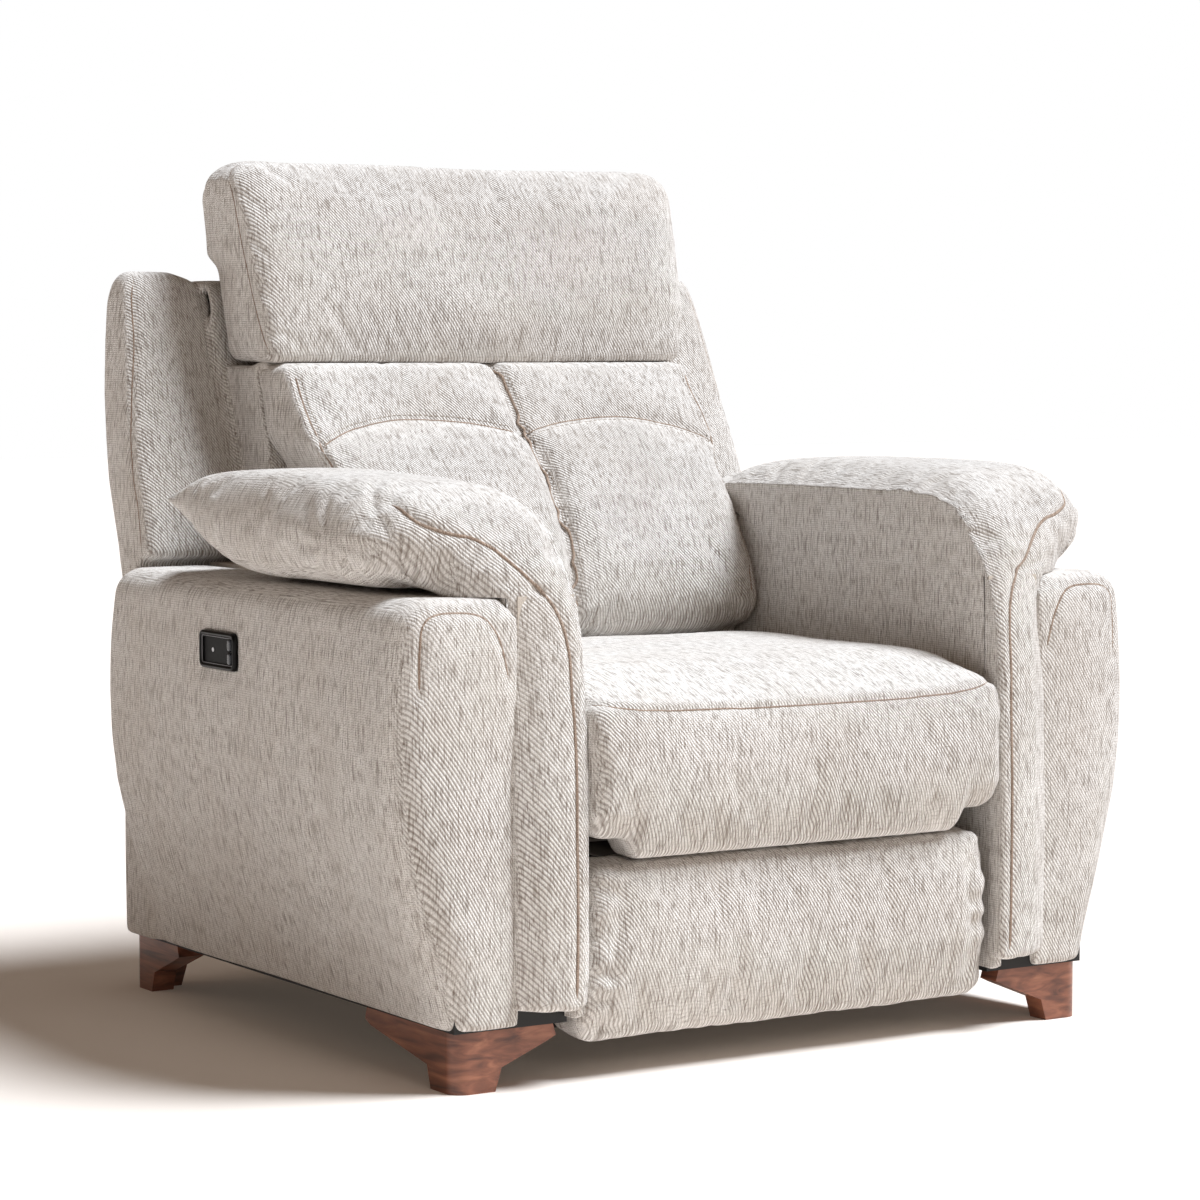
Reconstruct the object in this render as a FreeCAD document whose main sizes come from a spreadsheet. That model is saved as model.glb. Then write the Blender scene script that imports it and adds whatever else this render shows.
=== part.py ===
import FreeCAD, Part
import os
import Sketcher
from FreeCAD import Vector, Placement, Rotation

# Power recliner armchair.  Millimetres.  +Z up, front faces -Y.
# "left" and "right" are as seen by somebody standing in front of the chair (left = -X).

doc = FreeCAD.newDocument("ReclinerArmchair")
sheet = doc.addObject("Spreadsheet::Sheet", "dims")

DIMS = [
    # whole chair
    ("origin_shift", 12), ("arm_inner_half", 290), ("arm_board_half", 302), ("arm_frame_half", 362),
    ("arm_outer_bottom", 446), ("arm_outer_wide", 513), ("arm_outer_top", 500), ("arm_pad_outer", 512),
    ("arm_split_height", 542), ("arm_front", -446), ("arm_rear", 300), ("panel_front", -448),
    ("pad_front", -478), ("arm_crest", 658),
    # base
    ("foot_height", 68), ("foot_half", 440), ("foot_front", -440), ("foot_rear", 369), ("foot_wing", 30),
    ("foot_front_long", 200), ("foot_short", 130), ("plinth_top", 88), ("plinth_inner", 296), ("plinth_rear", 372),
    ("skirt_half", 455), ("skirt_top", 400), ("skirt_wall", 20),
    # back
    ("hinge_depth", 290), ("hinge_height", 400), ("hinge_pin", 8), ("wing_inner", 330), ("wing_outer", 462),
    ("plate_inner", 254), ("plate_outer", 276), ("bracket_outer", 282), ("lumbar_half", 284), ("lumbar_upper_half", 308),
    ("head_half", 325), ("head_hinge_depth", 246), ("head_hinge_height", 790), ("head_top", 1048),
    # seat
    ("seat_half", 284), ("seat_top", 438), ("seat_front", -490), ("seat_rear", 52),
    ("rail_inner", 264), ("rail_outer", 274), ("runner_outer", 285.5), ("rail_bottom", 300), ("deck_bottom", 330),
    ("deck_top", 336), ("tube_depth", 314.93), ("tube_pin", 8),
    # footrest linkage
    ("pivot_depth", -322), ("pivot_height", 256), ("link_length", 206), ("link_half_width", 7.5), ("link_pin", 5),
    ("layer", 5), ("plate_gauge", 4), ("first_layer", 240), ("shaft_radius", 9),
    ("board_half", 259), ("pad_half", 276), ("pad_bottom", 49), ("pad_top", 232), ("pad_outer_face", -468),
    # controls
    ("control_depth", -20), ("control_height", 460), ("bezel_long", 91), ("bezel_tall", 45), ("bezel_face", 515),
    ("button_long", 14), ("button_wide", 8),
]
VAL = {}
for row, (name, value) in enumerate(DIMS, 1):
    sheet.set("A%d" % row, str(value))
    sheet.setAlias("A%d" % row, name)
    VAL[name] = float(value)
doc.recompute()


class Q:
    """A number together with the spreadsheet expression it comes from."""
    def __init__(self, v, e):
        self.v, self.e = float(v), e
    def __add__(self, o):
        o = q(o)
        return Q(self.v + o.v, "(%s + %s)" % (self.e, o.e))
    __radd__ = __add__
    def __sub__(self, o):
        o = q(o)
        return Q(self.v - o.v, "(%s - %s)" % (self.e, o.e))
    def __rsub__(self, o):
        return q(o) - self
    def __mul__(self, k):
        return Q(self.v * k, "(%s * %s)" % (self.e, num(k)))
    __rmul__ = __mul__
    def __neg__(self):
        return self * -1.0


def num(x):
    return "%.6f" % x if x >= 0 else "(0 - %.6f)" % -x

def q(x):
    return x if isinstance(x, Q) else Q(x, num(x))

def D(name):
    return Q(VAL[name], "dims." + name)

SHIFT = D("origin_shift")

def bind(obj, path, x):
    obj.setExpression(path, q(x).e)


class Body:
    """PartDesign body with sketches on its own origin planes."""
    def __init__(self, label):
        self.b = doc.addObject("PartDesign::Body", label)
        self.b.Label = label
        self.n = 0
        self.planes = {f.Role: f for f in self.b.Origin.OriginFeatures}

    def sketch(self, plane, loops, off):
        self.n += 1
        s = self.b.newObject("Sketcher::SketchObject", "%s_sk%d" % (self.b.Label, self.n))
        s.AttachmentSupport = (self.planes[plane], [""])
        s.MapMode = "FlatFace"
        s.AttachmentOffset = Placement(Vector(0, 0, q(off).v), Rotation())
        bind(s, "AttachmentOffset.Base.z", off)
        for loop in loops:
            if loop[0] == "circle":
                _, cx, cy, r = loop
                cx, cy, r = self._pt(plane, cx, cy) + (q(r),)
                g = s.addGeometry(Part.Circle(Vector(cx.v, cy.v, 0), Vector(0, 0, 1), r.v), False)
                self._dist(s, "DistanceX", g, 3, cx)
                self._dist(s, "DistanceY", g, 3, cy)
                c = s.addConstraint(Sketcher.Constraint("Radius", g, r.v))
                s.setExpression("Constraints[%d]" % c, r.e)
                continue
            pts = []
            for p in loop:
                a, b_ = self._pt(plane, p[0], p[1])
                m = None
                if len(p) > 2:
                    ma, mb = self._pt(plane, p[2], p[3])
                    m = (ma, mb)
                pts.append((a, b_, m))
            first = s.GeometryCount
            k = len(pts)
            for i in range(k):
                a, b_ = pts[i], pts[(i + 1) % k]
                va, vb = Vector(a[0].v, a[1].v, 0), Vector(b_[0].v, b_[1].v, 0)
                if b_[2] is not None:
                    vm = Vector(b_[2][0].v, b_[2][1].v, 0)
                    arc = Part.Arc(va, vm, vb)
                    s.addGeometry(arc, False)
                else:
                    s.addGeometry(Part.LineSegment(va, vb), False)
            ends = []
            for i in range(k):
                g = s.Geometry[first + i]
                va = Vector(pts[i][0].v, pts[i][1].v, 0)
                start = s.getPoint(first + i, 1)
                ends.append((1, 2) if (start - va).Length < 1e-4 else (2, 1))
            for i in range(k):
                j = (i + 1) % k
                s.addConstraint(Sketcher.Constraint("Coincident", first + i, ends[i][1], first + j, ends[j][0]))
            for i in range(k):
                self._dist(s, "DistanceX", first + i, ends[i][0], pts[i][0])
                self._dist(s, "DistanceY", first + i, ends[i][0], pts[i][1])
        return s

    def _pt(self, plane, a, b):
        a, b = q(a), q(b)
        if plane == "YZ_Plane":
            a = a + SHIFT
        elif plane == "XY_Plane":
            b = b + SHIFT
        return a, b

    def _dist(self, s, kind, g, pos, val):
        c = s.addConstraint(Sketcher.Constraint(kind, -1, 1, g, pos, val.v))
        s.setExpression("Constraints[%d]" % c, val.e)

    def _range(self, plane, lo, hi, cut):
        lo, hi = q(lo), q(hi)
        if plane == "XZ_Plane":
            off = -(lo + SHIFT) if cut else -(hi + SHIFT)
        else:
            off = hi if cut else lo
        return off, hi - lo

    def pad(self, plane, loops, lo, hi):
        off, length = self._range(plane, lo, hi, False)
        s = self.sketch(plane, loops, off)
        p = self.b.newObject("PartDesign::Pad", "%s_pad%d" % (self.b.Label, self.n))
        p.Profile = s
        p.Length = length.v
        bind(p, "Length", length)
        s.Visibility = False
        doc.recompute()
        return self

    def cut(self, plane, loops, lo, hi):
        before = self.b.Shape.Volume
        off, length = self._range(plane, lo, hi, True)
        s = self.sketch(plane, loops, off)
        p = self.b.newObject("PartDesign::Pocket", "%s_cut%d" % (self.b.Label, self.n))
        p.Profile = s
        p.Length = length.v
        bind(p, "Length", length)
        doc.recompute()
        if not self.b.Shape.Volume < before - 1e-3:
            raise RuntimeError("cut removed nothing on " + self.b.Label)
        return self

    def fillet(self, r, chooser):
        names = []
        for i, e in enumerate(self.b.Shape.Edges, 1):
            m = e.valueAt((e.FirstParameter + e.LastParameter) / 2.0)
            if chooser(e, m):
                names.append("Edge%d" % i)
        if not names:
            raise RuntimeError("no edge to round on " + self.b.Label)
        tip = self.b.Tip
        f = self.b.newObject("PartDesign::Fillet", "%s_round%d" % (self.b.Label, self.n))
        self.n += 1
        f.Base = (tip, names)
        f.Radius = r
        doc.recompute()
        if f.Shape.isNull() or not f.Shape.isValid() or "Invalid" in f.State:
            raise RuntimeError("round failed on " + self.b.Label)
        return self


NODES = []

def body(label):
    b = Body(label)
    NODES.append(b)
    return b

def rect(a0, b0, a1, b1):
    return [(a0, b0), (a1, b0), (a1, b1), (a0, b1)]

def xr(side, lo, hi):
    """x range lo..hi on the right side, or its mirror on the left."""
    return (lo, hi) if side > 0 else (-q(hi), -q(lo))

def mx(side, pts):
    """XZ or XY profile mirrored to the left side when needed."""
    out = []
    for p in pts:
        t = (q(p[0]) * side,) + tuple(p[1:2])
        if len(p) > 2:
            t = t + (q(p[2]) * side, p[3])
        out.append(t)
    return out

def along(e, axis):
    d = e.Vertexes[-1].Point - e.Vertexes[0].Point if len(e.Vertexes) > 1 else Vector(0, 0, 0)
    if d.Length < 1e-6:
        return False
    return abs(getattr(d, axis)) / d.Length > 0.999

SIDES = (("left", -1), ("right", 1))
S = VAL["origin_shift"]

# ------------------------------------------------------------------ feet
def foot(label, side, front):
    fh, fw = D("foot_height"), D("foot_wing")
    half = D("foot_half")
    corner = D("foot_front") if front else D("foot_rear")
    sgn = 1 if front else -1
    def wing(length):
        return [(0, 0), (52, 0), (60, 26), (length - 13, 49), (length, 55), (length - 4, fh), (0, fh)]
    b = body(label)
    cross = [((half - p[0]) * side, p[1]) for p in wing(D("foot_short"))]
    lo, hi = (corner, corner + fw) if front else (corner - fw, corner)
    b.pad("XZ_Plane", [cross], lo, hi)
    long = D("foot_front_long") if front else D("foot_short")
    run = [(corner + q(p[0]) * sgn, p[1]) for p in wing(long)]
    a, c = xr(side, half - fw, half)
    b.pad("YZ_Plane", [run], a, c)
    cx, cy = VAL["foot_half"] * side, (VAL["foot_front"] if front else VAL["foot_rear"]) + S
    b.fillet(20, lambda e, m: along(e, "z") and abs(m.x - cx) < 0.5 and abs(m.y - cy) < 0.5)
    return b

for name, side in SIDES:
    foot("foot_front_" + name, side, True)
    foot("foot_rear_" + name, side, False)

# ------------------------------------------------------------------ plinth: two side boards and two cross rails in one frame
b = body("plinth")
fh, pt = D("foot_height"), D("plinth_top")
inner, half = D("plinth_inner"), D("foot_half")
b.pad("YZ_Plane", [rect(D("foot_front"), fh, D("plinth_rear"), pt)], -half, -inner)
b.pad("XY_Plane", [[(-inner, -230), (inner, -230), (inner, -190), (-inner, -190)]], fh, pt)
b.pad("YZ_Plane", [rect(D("foot_front"), fh, D("plinth_rear"), pt)], inner, half)
b.pad("YZ_Plane", [rect(-230, fh, -190, 128)], -inner + 8, inner - 8)
b.pad("YZ_Plane", [rect(330, fh, 352, 128)], -inner, inner)

# ------------------------------------------------------------------ arms
for name, side in SIDES:
    b = body("arm_frame_" + name)
    a, c = xr(side, D("arm_inner_half"), D("arm_board_half"))
    b.pad("YZ_Plane", [rect(D("arm_front"), pt, 330, D("arm_split_height"))], a, c)
    a, c = xr(side, D("arm_board_half"), D("arm_frame_half"))
    b.pad("YZ_Plane", [rect(D("arm_front"), pt, D("arm_rear"), D("arm_split_height"))], a, c)
    b.cut("YZ_Plane", [rect(-396, 128, 250, 502)], a, c)

    b = body("arm_panel_" + name)
    sp = D("arm_split_height")
    prof = [(D("arm_frame_half"), 90), (D("arm_outer_bottom"), 90),
            (D("arm_outer_wide"), 360, 489, 215), (D("arm_outer_top"), sp, 511.5, 452), (D("arm_frame_half"), sp)]
    b.pad("XZ_Plane", [mx(side, prof)], D("panel_front"), D("arm_rear"))
    if side < 0:
        cd, ch = D("control_depth"), D("control_height")
        l2, t2 = D("bezel_long") * 0.5, D("bezel_tall") * 0.5
        b.cut("YZ_Plane", [rect(cd - l2, ch - t2, cd + l2, ch + t2)], -540, -474)

    b = body("arm_pad_" + name)
    a, c = xr(side, D("arm_inner_half") + 1, D("arm_pad_outer"))
    cr = D("arm_crest")
    b.pad("YZ_Plane", [[(158, sp), (158, cr - 28), (138, cr - 4), (-330, cr), (-388, cr - 18), (-434, cr - 66),
                        (-466, sp)]], a, c)
    a, c = xr(side, D("arm_inner_half") + 1, D("arm_frame_half"))
    pf = D("pad_front")
    b.pad("YZ_Plane", [[(pf, 92), (D("arm_front"), 92), (D("arm_front"), sp + 20), (-450, sp + 20), (-466, sp), (pf, 486)]], a, c)
    xo = VAL["arm_pad_outer"] * side
    b.fillet(26, lambda e, m: abs(m.x - xo) < 0.5 and m.z > VAL["arm_split_height"] + 1 and along(e, "y"))

# ------------------------------------------------------------------ rear skirt with the power box
b = body("rear_skirt")
sk, w, pr = D("skirt_half"), D("skirt_wall"), D("plinth_rear")
b.pad("XY_Plane", [[(-sk, 301), (-sk, pr), (sk, pr), (sk, 301), (sk - w, 301), (sk - w, pr - w), (-sk + w, pr - w), (-sk + w, 301)]],
      90, D("skirt_top"))
b.cut("YZ_Plane", [[(295, 402), (330, 396), (360, 380), (380, 350), (380, 420), (295, 420)]], -470, 470)
b.cut("XZ_Plane", [rect(180, 100, 240, 140)], 350, 380)
b = body("power_inlet")
b.pad("YZ_Plane", [rect(pr - w, 100, pr, 140)], 180, 240)
b.cut("XZ_Plane", [("circle", 210, 120, 4)], pr - 12, pr + 2)

# ------------------------------------------------------------------ hand control on the left arm panel
cd, ch = D("control_depth"), D("control_height")
l2, t2 = D("bezel_long") * 0.5, D("bezel_tall") * 0.5
bf = D("bezel_face")
b = body("control_box")
b.pad("YZ_Plane", [rect(cd - l2, ch - t2, cd + l2, ch + t2)], -bf + 7, -474)
b.cut("YZ_Plane", [rect(cd - l2 + 4, ch - t2 + 4, cd + l2 - 4, ch + t2 - 4)], -bf + 6, -478)
b = body("control_bezel")
b.pad("YZ_Plane", [rect(cd - l2, ch - t2, cd + l2, ch + t2)], -bf, -bf + 7)
b.fillet(9, lambda e, m: along(e, "x"))
b.cut("YZ_Plane", [rect(cd - l2 + 6, ch - t2 + 6, cd + l2 - 6, ch + t2 - 6)], -bf - 1, -bf + 8)
b = body("control_fascia")
b.pad("YZ_Plane", [rect(cd - l2 + 6, ch - t2 + 6, cd + l2 - 6, ch + t2 - 6)], -bf + 4, -bf + 7)
by = cd - 30
bw, bl = D("button_wide") * 0.5, D("button_long") * 0.5
for k in (-1, 1):
    cz = ch + 8 * k
    b.cut("YZ_Plane", [rect(by - bw - 0.5, cz - bl - 0.5, by + bw + 0.5, cz + bl + 0.5)], -bf + 3, -bf + 8)
b.cut("YZ_Plane", [("circle", cd + 14, ch, 2.5)], -bf + 3, -bf + 8)
b = body("indicator_lens")
b.pad("YZ_Plane", [("circle", cd + 14, ch, 2.5)], -bf + 3.4, -bf + 7)
for nm, k in (("button_upper", 1), ("button_lower", -1)):
    b = body(nm)
    cz = ch + 8 * k
    b.pad("YZ_Plane", [rect(by - bw, cz - bl, by + bw, cz + bl)], -bf + 1, -bf + 15)

# ------------------------------------------------------------------ recline actuator
b = body("recline_motor")
b.pad("YZ_Plane", [rect(-229, 128, -150, 236)], -38, 38)
b.pad("XZ_Plane", [("circle", 0, 200, 18)], -150, 176)
b.cut("XZ_Plane", [("circle", 0, 200, 7.5)], -172, 177)
b = body("actuator_rod")
b.pad("XZ_Plane", [("circle", 0, 200, 7)], -118, 300)

# ------------------------------------------------------------------ seat slide channels and back hinge pins
for name, side in SIDES:
    b = body("seat_channel_" + name)
    ih = D("arm_inner_half")
    ro = D("rail_outer") + 0.5
    b.pad("XZ_Plane", [mx(side, [(ih, 296), (ih, 334), (ro, 334), (ro, 331), (ih - 4, 331), (ih - 4, 299), (ro, 299), (ro, 296)])],
          -345, 55)
    b = body("back_pivot_" + name)
    a, c = xr(side, D("plate_outer") - 1, ih)
    hd, hh = D("hinge_depth"), D("hinge_height")
    b.pad("YZ_Plane", [("circle", hd, hh, D("hinge_pin"))], a, c)
    a, c = xr(side, D("bracket_outer") + 0.6, ih)
    b.pad("YZ_Plane", [("circle", hd, hh, D("hinge_pin") + 7)], a, c)

# ------------------------------------------------------------------ seat frame
ri, ro, rb, db = D("rail_inner"), D("rail_outer"), D("rail_bottom"), D("deck_bottom")
td = D("tube_depth")
b = body("seat_frame")
b.pad("XY_Plane", [[(-ri, -412), (ri, -412), (ri, -382), (-ri, -382)]], rb, db)
for side in (-1, 1):
    a, c = xr(side, ri, ro)
    b.pad("YZ_Plane", [[(-412, rb), (110, rb), (200, 288), (td + 13, 288), (td + 13, 312), (220, 312), (150, 336), (-412, 336)]], a, c)
b.pad("XY_Plane", [[(-ri, 80), (ri, 80), (ri, 110), (-ri, 110)]], rb, db)
for side in (-1, 1):
    a, c = xr(side, ro, D("runner_outer"))
    b.pad("YZ_Plane", [rect(-280, 299.5, 40, 330.5)], a, c)
    a, c = xr(side, ro, D("bracket_outer") + 1.5)
    b.pad("YZ_Plane", [("circle", td, 300, D("tube_pin"))], a, c)
b = body("seat_deck")
b.pad("XY_Plane", [[(-ri, -412), (ri, -412), (ri, 110), (-ri, 110)]], db, D("deck_top"))
b = body("seat_tube")
b.pad("YZ_Plane", [("circle", td, 300, D("tube_pin") + 2)], -ri, ri)
b.pad("YZ_Plane", [rect(td - 14.93, 186, td - 5, 300)], -16, 16)
b = body("seat_cushion")
sf, st, sr = D("seat_front"), D("seat_top"), D("seat_rear")
dt = D("deck_top")
b.pad("YZ_Plane", [[(-413, 258), (sf + 26, 258), (sf, 288), (sf, st - 44), (sf + 34, st - 4), (-360, st), (sr - 20, st), (sr, st - 22),
                    (sr, dt), (-413, dt)]], -D("seat_half"), D("seat_half"))
for side in (-1, 1):
    a, c = xr(side, 236, D("seat_half") + 2)
    b.cut("XZ_Plane", [[(a, 250), (c, 250), (c, 268), (a, 268)]], sf - 2, -412)
b.fillet(16, lambda e, m: abs(abs(m.x) - VAL["seat_half"]) < 0.5 and m.z > VAL["seat_top"] - 5 and along(e, "y"))

# ------------------------------------------------------------------ footrest linkage, shown folded
C, SN = 0.0697565, 0.9975641
py, pz, L = D("pivot_depth"), D("pivot_height"), D("link_length")
hw, pin = D("link_half_width"), D("link_pin")
P_TOP = (py, pz)
P_BOT = (py, pz - L * SN)
Q_TOP = (py - L * C, pz)
Q_BOT = (py - L * C, pz - L * SN)
C1 = (py - L * (0.5 * C), pz - L * (0.5 * SN))
C2 = (py - L * (1.5 * C), pz - L * (0.5 * SN))
END = (py - L * (2 * C), pz - L * SN)
FL, LAY, TH = D("first_layer"), D("layer"), D("plate_gauge")

def layer(side, k0, k1=None, grow=0.0):
    k1 = k0 if k1 is None else k1
    lo = FL + LAY * k0 - grow
    hi = FL + LAY * k1 + TH + grow
    return xr(side, lo, hi)

def bar(a, b_, r=None):
    """Outline of a flat bar with round ends from a to b_."""
    r = hw if r is None else q(r)
    dy, dz = b_[0].v - a[0].v, b_[1].v - a[1].v
    n = (dy * dy + dz * dz) ** 0.5
    ty, tz = dy / n, dz / n
    ny, nz = -tz, ty
    p1 = (a[0] + r * ny, a[1] + r * nz)
    p2 = (a[0] - r * ny, a[1] - r * nz)
    p3 = (b_[0] - r * ny, b_[1] - r * nz)
    p4 = (b_[0] + r * ny, b_[1] + r * nz)
    m1 = (a[0] - r * ty, a[1] - r * tz)
    m2 = (b_[0] + r * ty, b_[1] + r * tz)
    return [p1, p2 + m1, p3, p4 + m2]

for name, side in SIDES:
    # inner hanger that carries the drive shaft
    b = body("shaft_hanger_" + name)
    a, c = layer(side, -1)
    b.pad("YZ_Plane", [[(-346, db), (-346, pz - 8), (-334, pz - 18), (-310, pz - 18), (-298, pz - 8), (-298, db)], ("circle", py, pz, D("shaft_radius") + 0.08)], a, c)
    # outer hanger with the long slot
    b = body("slot_hanger_" + name)
    a, c = layer(side, 4)
    b.pad("YZ_Plane", [[(py - 15, db), (py - 15, 50), (py + 15, 50, py, 36), (py + 15, db)]], a, c)
    b.cut("YZ_Plane", [bar((py, pz - L * SN - 1), (py, pz - 10.5), pin + 0.4)], a, c)
    # drive link
    b = body("drive_link_" + name)
    a, c = layer(side, 1)
    b.pad("YZ_Plane", [bar(P_TOP, Q_BOT)], a, c)
    a, c = xr(side, FL + LAY + TH, FL + LAY * 2 + TH)
    b.pad("YZ_Plane", [("circle", C1[0], C1[1], pin)], a, c)
    a, c = xr(side, FL, FL + LAY)
    b.pad("YZ_Plane", [("circle", Q_BOT[0], Q_BOT[1], pin)], a, c)
    # cross link
    b = body("cross_link_" + name)
    a, c = layer(side, 2)
    b.pad("YZ_Plane", [bar(P_BOT, Q_TOP), ("circle", C1[0], C1[1], pin + 0.08)], a, c)
    a, c = xr(side, FL + LAY * 2 + TH, FL + LAY * 4 + TH)
    b.pad("YZ_Plane", [("circle", P_BOT[0], P_BOT[1], pin)], a, c)
    a, c = xr(side, FL + LAY * 2 + TH, FL + LAY * 3 + TH)
    b.pad("YZ_Plane", [("circle", Q_TOP[0], Q_TOP[1], pin)], a, c)
    # short strut
    b = body("strut_" + name)
    a, c = layer(side, 0)
    b.pad("YZ_Plane", [bar(Q_BOT, C2), ("circle", Q_BOT[0], Q_BOT[1], pin + 0.08)], a, c)
    a, c = xr(side, FL + TH, FL + LAY * 3 + TH)
    b.pad("YZ_Plane", [("circle", C2[0], C2[1], pin)], a, c)
    # footrest link with the flange that carries the board
    b = body("footrest_link_" + name)
    a, c = layer(side, 3)
    b.pad("YZ_Plane", [bar(Q_TOP, END), ("circle", Q_TOP[0], Q_TOP[1], pin + 0.08), ("circle", C2[0], C2[1], pin + 0.6)], a, c)
    b.pad("YZ_Plane", [[(END[0] - 1, 76), (END[0] - 1, 150), (-372, 150), (-372, 76)]], a, c)

b = body("drive_shaft")
lim = FL + LAY
b.pad("YZ_Plane", [("circle", py, pz, D("shaft_radius"))], -lim, lim)
b = body("footrest_motor")
b.pad("YZ_Plane", [rect(-352, pz - 30, -292, db), ("circle", py, pz, D("shaft_radius") + 0.08)], 20, 96)
b.pad("YZ_Plane", [rect(-292, pz - 18, -210, db)], 30, 86)

b = body("footrest_board")
b.pad("XZ_Plane", [rect(-D("board_half"), 62, D("board_half"), 222)], -387, -372)
b = body("footrest_pad")
ph, pb, ptp, po = D("pad_half"), D("pad_bottom"), D("pad_top"), D("pad_outer_face")
b.pad("YZ_Plane", [[(-387, pb + 8), (-387, ptp - 8), (-400, ptp), (po + 22, ptp), (po, ptp - 26), (po + 8, pb + 24), (po + 26, pb), (-400, pb)]], -ph, ph)

# ------------------------------------------------------------------ back
REAR = [(358, 425), (362, 500), (375, 560), (401, 649), (414, 697), (432, 752), (443, 815), (452, 870), (449, 905)]
FRONT = [(305, 425), (305, 546), (272, 549), (303, 649), (319, 697), (340, 752), (362, 815), (383, 870), (395, 905)]
for name, side in SIDES:
    b = body("wing_" + name)
    a, c = xr(side, D("wing_inner"), D("wing_outer"))
    b.pad("YZ_Plane", [FRONT + REAR[::-1]], a, c)
    xo = VAL["wing_outer"] * side
    b.fillet(14, lambda e, m: abs(m.x - xo) < 0.5 and abs(m.z - 905) < 0.5)

b = body("back_panel")
inner_face = [(y - 20, z) for y, z in REAR]
b.pad("YZ_Plane", [inner_face + REAR[::-1]], -D("wing_inner"), D("wing_inner"))

b = body("back_frame")
plate = [(250, 425), (195.5, 470), (270.6, 740), (285.6, 783), (364, 783), (368, 800), (394, 892), (430, 892)] + \
        [(y, z) for y, z in inner_face[:-1]][::-1]
a, c = xr(-1, D("plate_inner"), D("plate_outer"))
b.pad("YZ_Plane", [plate], a, c)
pi = D("plate_inner")
b.pad("YZ_Plane", [[(252, 430), (336, 430), (336, 456), (252, 456)]], -pi, pi)
b.pad("YZ_Plane", [plate], pi, D("plate_outer"))
b.pad("YZ_Plane", [rect(300, 745, 396, 783)], -pi, pi)
b.pad("YZ_Plane", [[(396, 850), (424, 850), (428, 890), (400, 890)]], -pi, pi)

for name, side in SIDES:
    b = body("back_bracket_" + name)
    a, c = xr(side, D("plate_outer"), D("bracket_outer"))
    hd, hh = D("hinge_depth"), D("hinge_height")
    b.pad("YZ_Plane", [[(hd - 30, 520), (hd - 18, 400), (td - 17, 300), (td + 15, 288, td - 5, 280), (td + 16, 306),
                        (hd + 20, 402), (hd + 36, 520)],
                       ("circle", hd, hh, D("hinge_pin") + 0.08)], a, c)
    # slot along the arm for the pin of the seat frame; the arm starts 14 degrees behind the vertical
    u = (0.2419219, -0.9702957)
    s0 = (hd + 99.2 * u[0], hh + 99.2 * u[1])
    s1 = (hd + 103.9 * u[0], hh + 103.9 * u[1])
    b.cut("YZ_Plane", [bar(s0, s1, D("tube_pin") + 0.6)], a, c)

b = body("lumbar_cushion")
lh = D("lumbar_half")
b.pad("YZ_Plane", [[(68, 346), (68, 452), (32, 460), (22, 500), (60, 580), (117.5, 664), (248.9, 664), (195, 470), (190, 346)]], -lh, lh)
lu = D("lumbar_upper_half")
b.pad("YZ_Plane", [[(117.5, 664), (165, 730), (206, 778), (216, 783), (285, 783), (270, 740), (248.9, 664)]], -lu, lu)

for name, side in SIDES:
    # fixed half of the head cushion hinge
    hy, hz = D("head_hinge_depth"), D("head_hinge_height")
    b = body("head_hinge_" + name)
    a, c = xr(side, 140, 150)
    b.pad("YZ_Plane", [[(hy, hz + 4.6), (hy, hz - 4.6, hy - 4.6, hz), (312, hz - 4.6), (312, hz - 7), (340, hz - 7), (340, hz + 4.6)]], a, c)
    a, c = xr(side, 150, 170)
    b.pad("YZ_Plane", [("circle", hy, hz, 2.4)], a, c)
    # moving half
    b = body("head_knuckle_" + name)
    a, c = xr(side, 150.5, 169.5)
    b.pad("YZ_Plane", [[(hy + 4.6, hz, hy, hz - 4.6), (hy + 4.6, hz + 7), (hy - 4.6, hz + 7), (hy - 4.6, hz)],
                       ("circle", hy, hz, 2.45)], a, c)

b = body("head_cushion")
hh_, ht = D("head_half"), D("head_top")
b.pad("YZ_Plane", [[(241, 797), (244, 830), (270, 930), (292, 1010), (303, ht - 12), (318, ht), (370, ht), (392, ht - 20), (398, 1000),
                    (392, 925), (366, 905), (352, 797)]], -hh_, hh_)
b.fillet(24, lambda e, m: abs(abs(m.x) - VAL["head_half"]) < 0.5 and abs(m.z - VAL["head_top"]) < 0.6)

# ------------------------------------------------------------------ checks and files
doc.recompute()
for o in doc.Objects:
    for flag in ("Invalid", "Error"):
        if flag in o.State:
            raise RuntimeError("%s is %s" % (o.Name, o.State))
os.makedirs("parts", exist_ok=True)
for f in os.listdir("parts"):
    if f.endswith(".step"):
        os.remove(os.path.join("parts", f))
seen = set()
for n in NODES:
    sh = n.b.Shape
    if sh.isNull() or not sh.isValid() or sh.Volume <= 0:
        raise RuntimeError("bad shape " + n.b.Label)
    if len(sh.Solids) != 1:
        raise RuntimeError("%s has %d solids" % (n.b.Label, len(sh.Solids)))
    if n.b.Label in seen:
        raise RuntimeError("name used twice " + n.b.Label)
    seen.add(n.b.Label)
    sh.exportStep("parts/%s.step" % n.b.Label)
print("wrote", len(seen), "parts")
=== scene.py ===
import bpy, math
import numpy as np
from mathutils import Vector, Matrix
from mathutils.bvhtree import BVHTree
from mathutils.kdtree import KDTree


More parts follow.
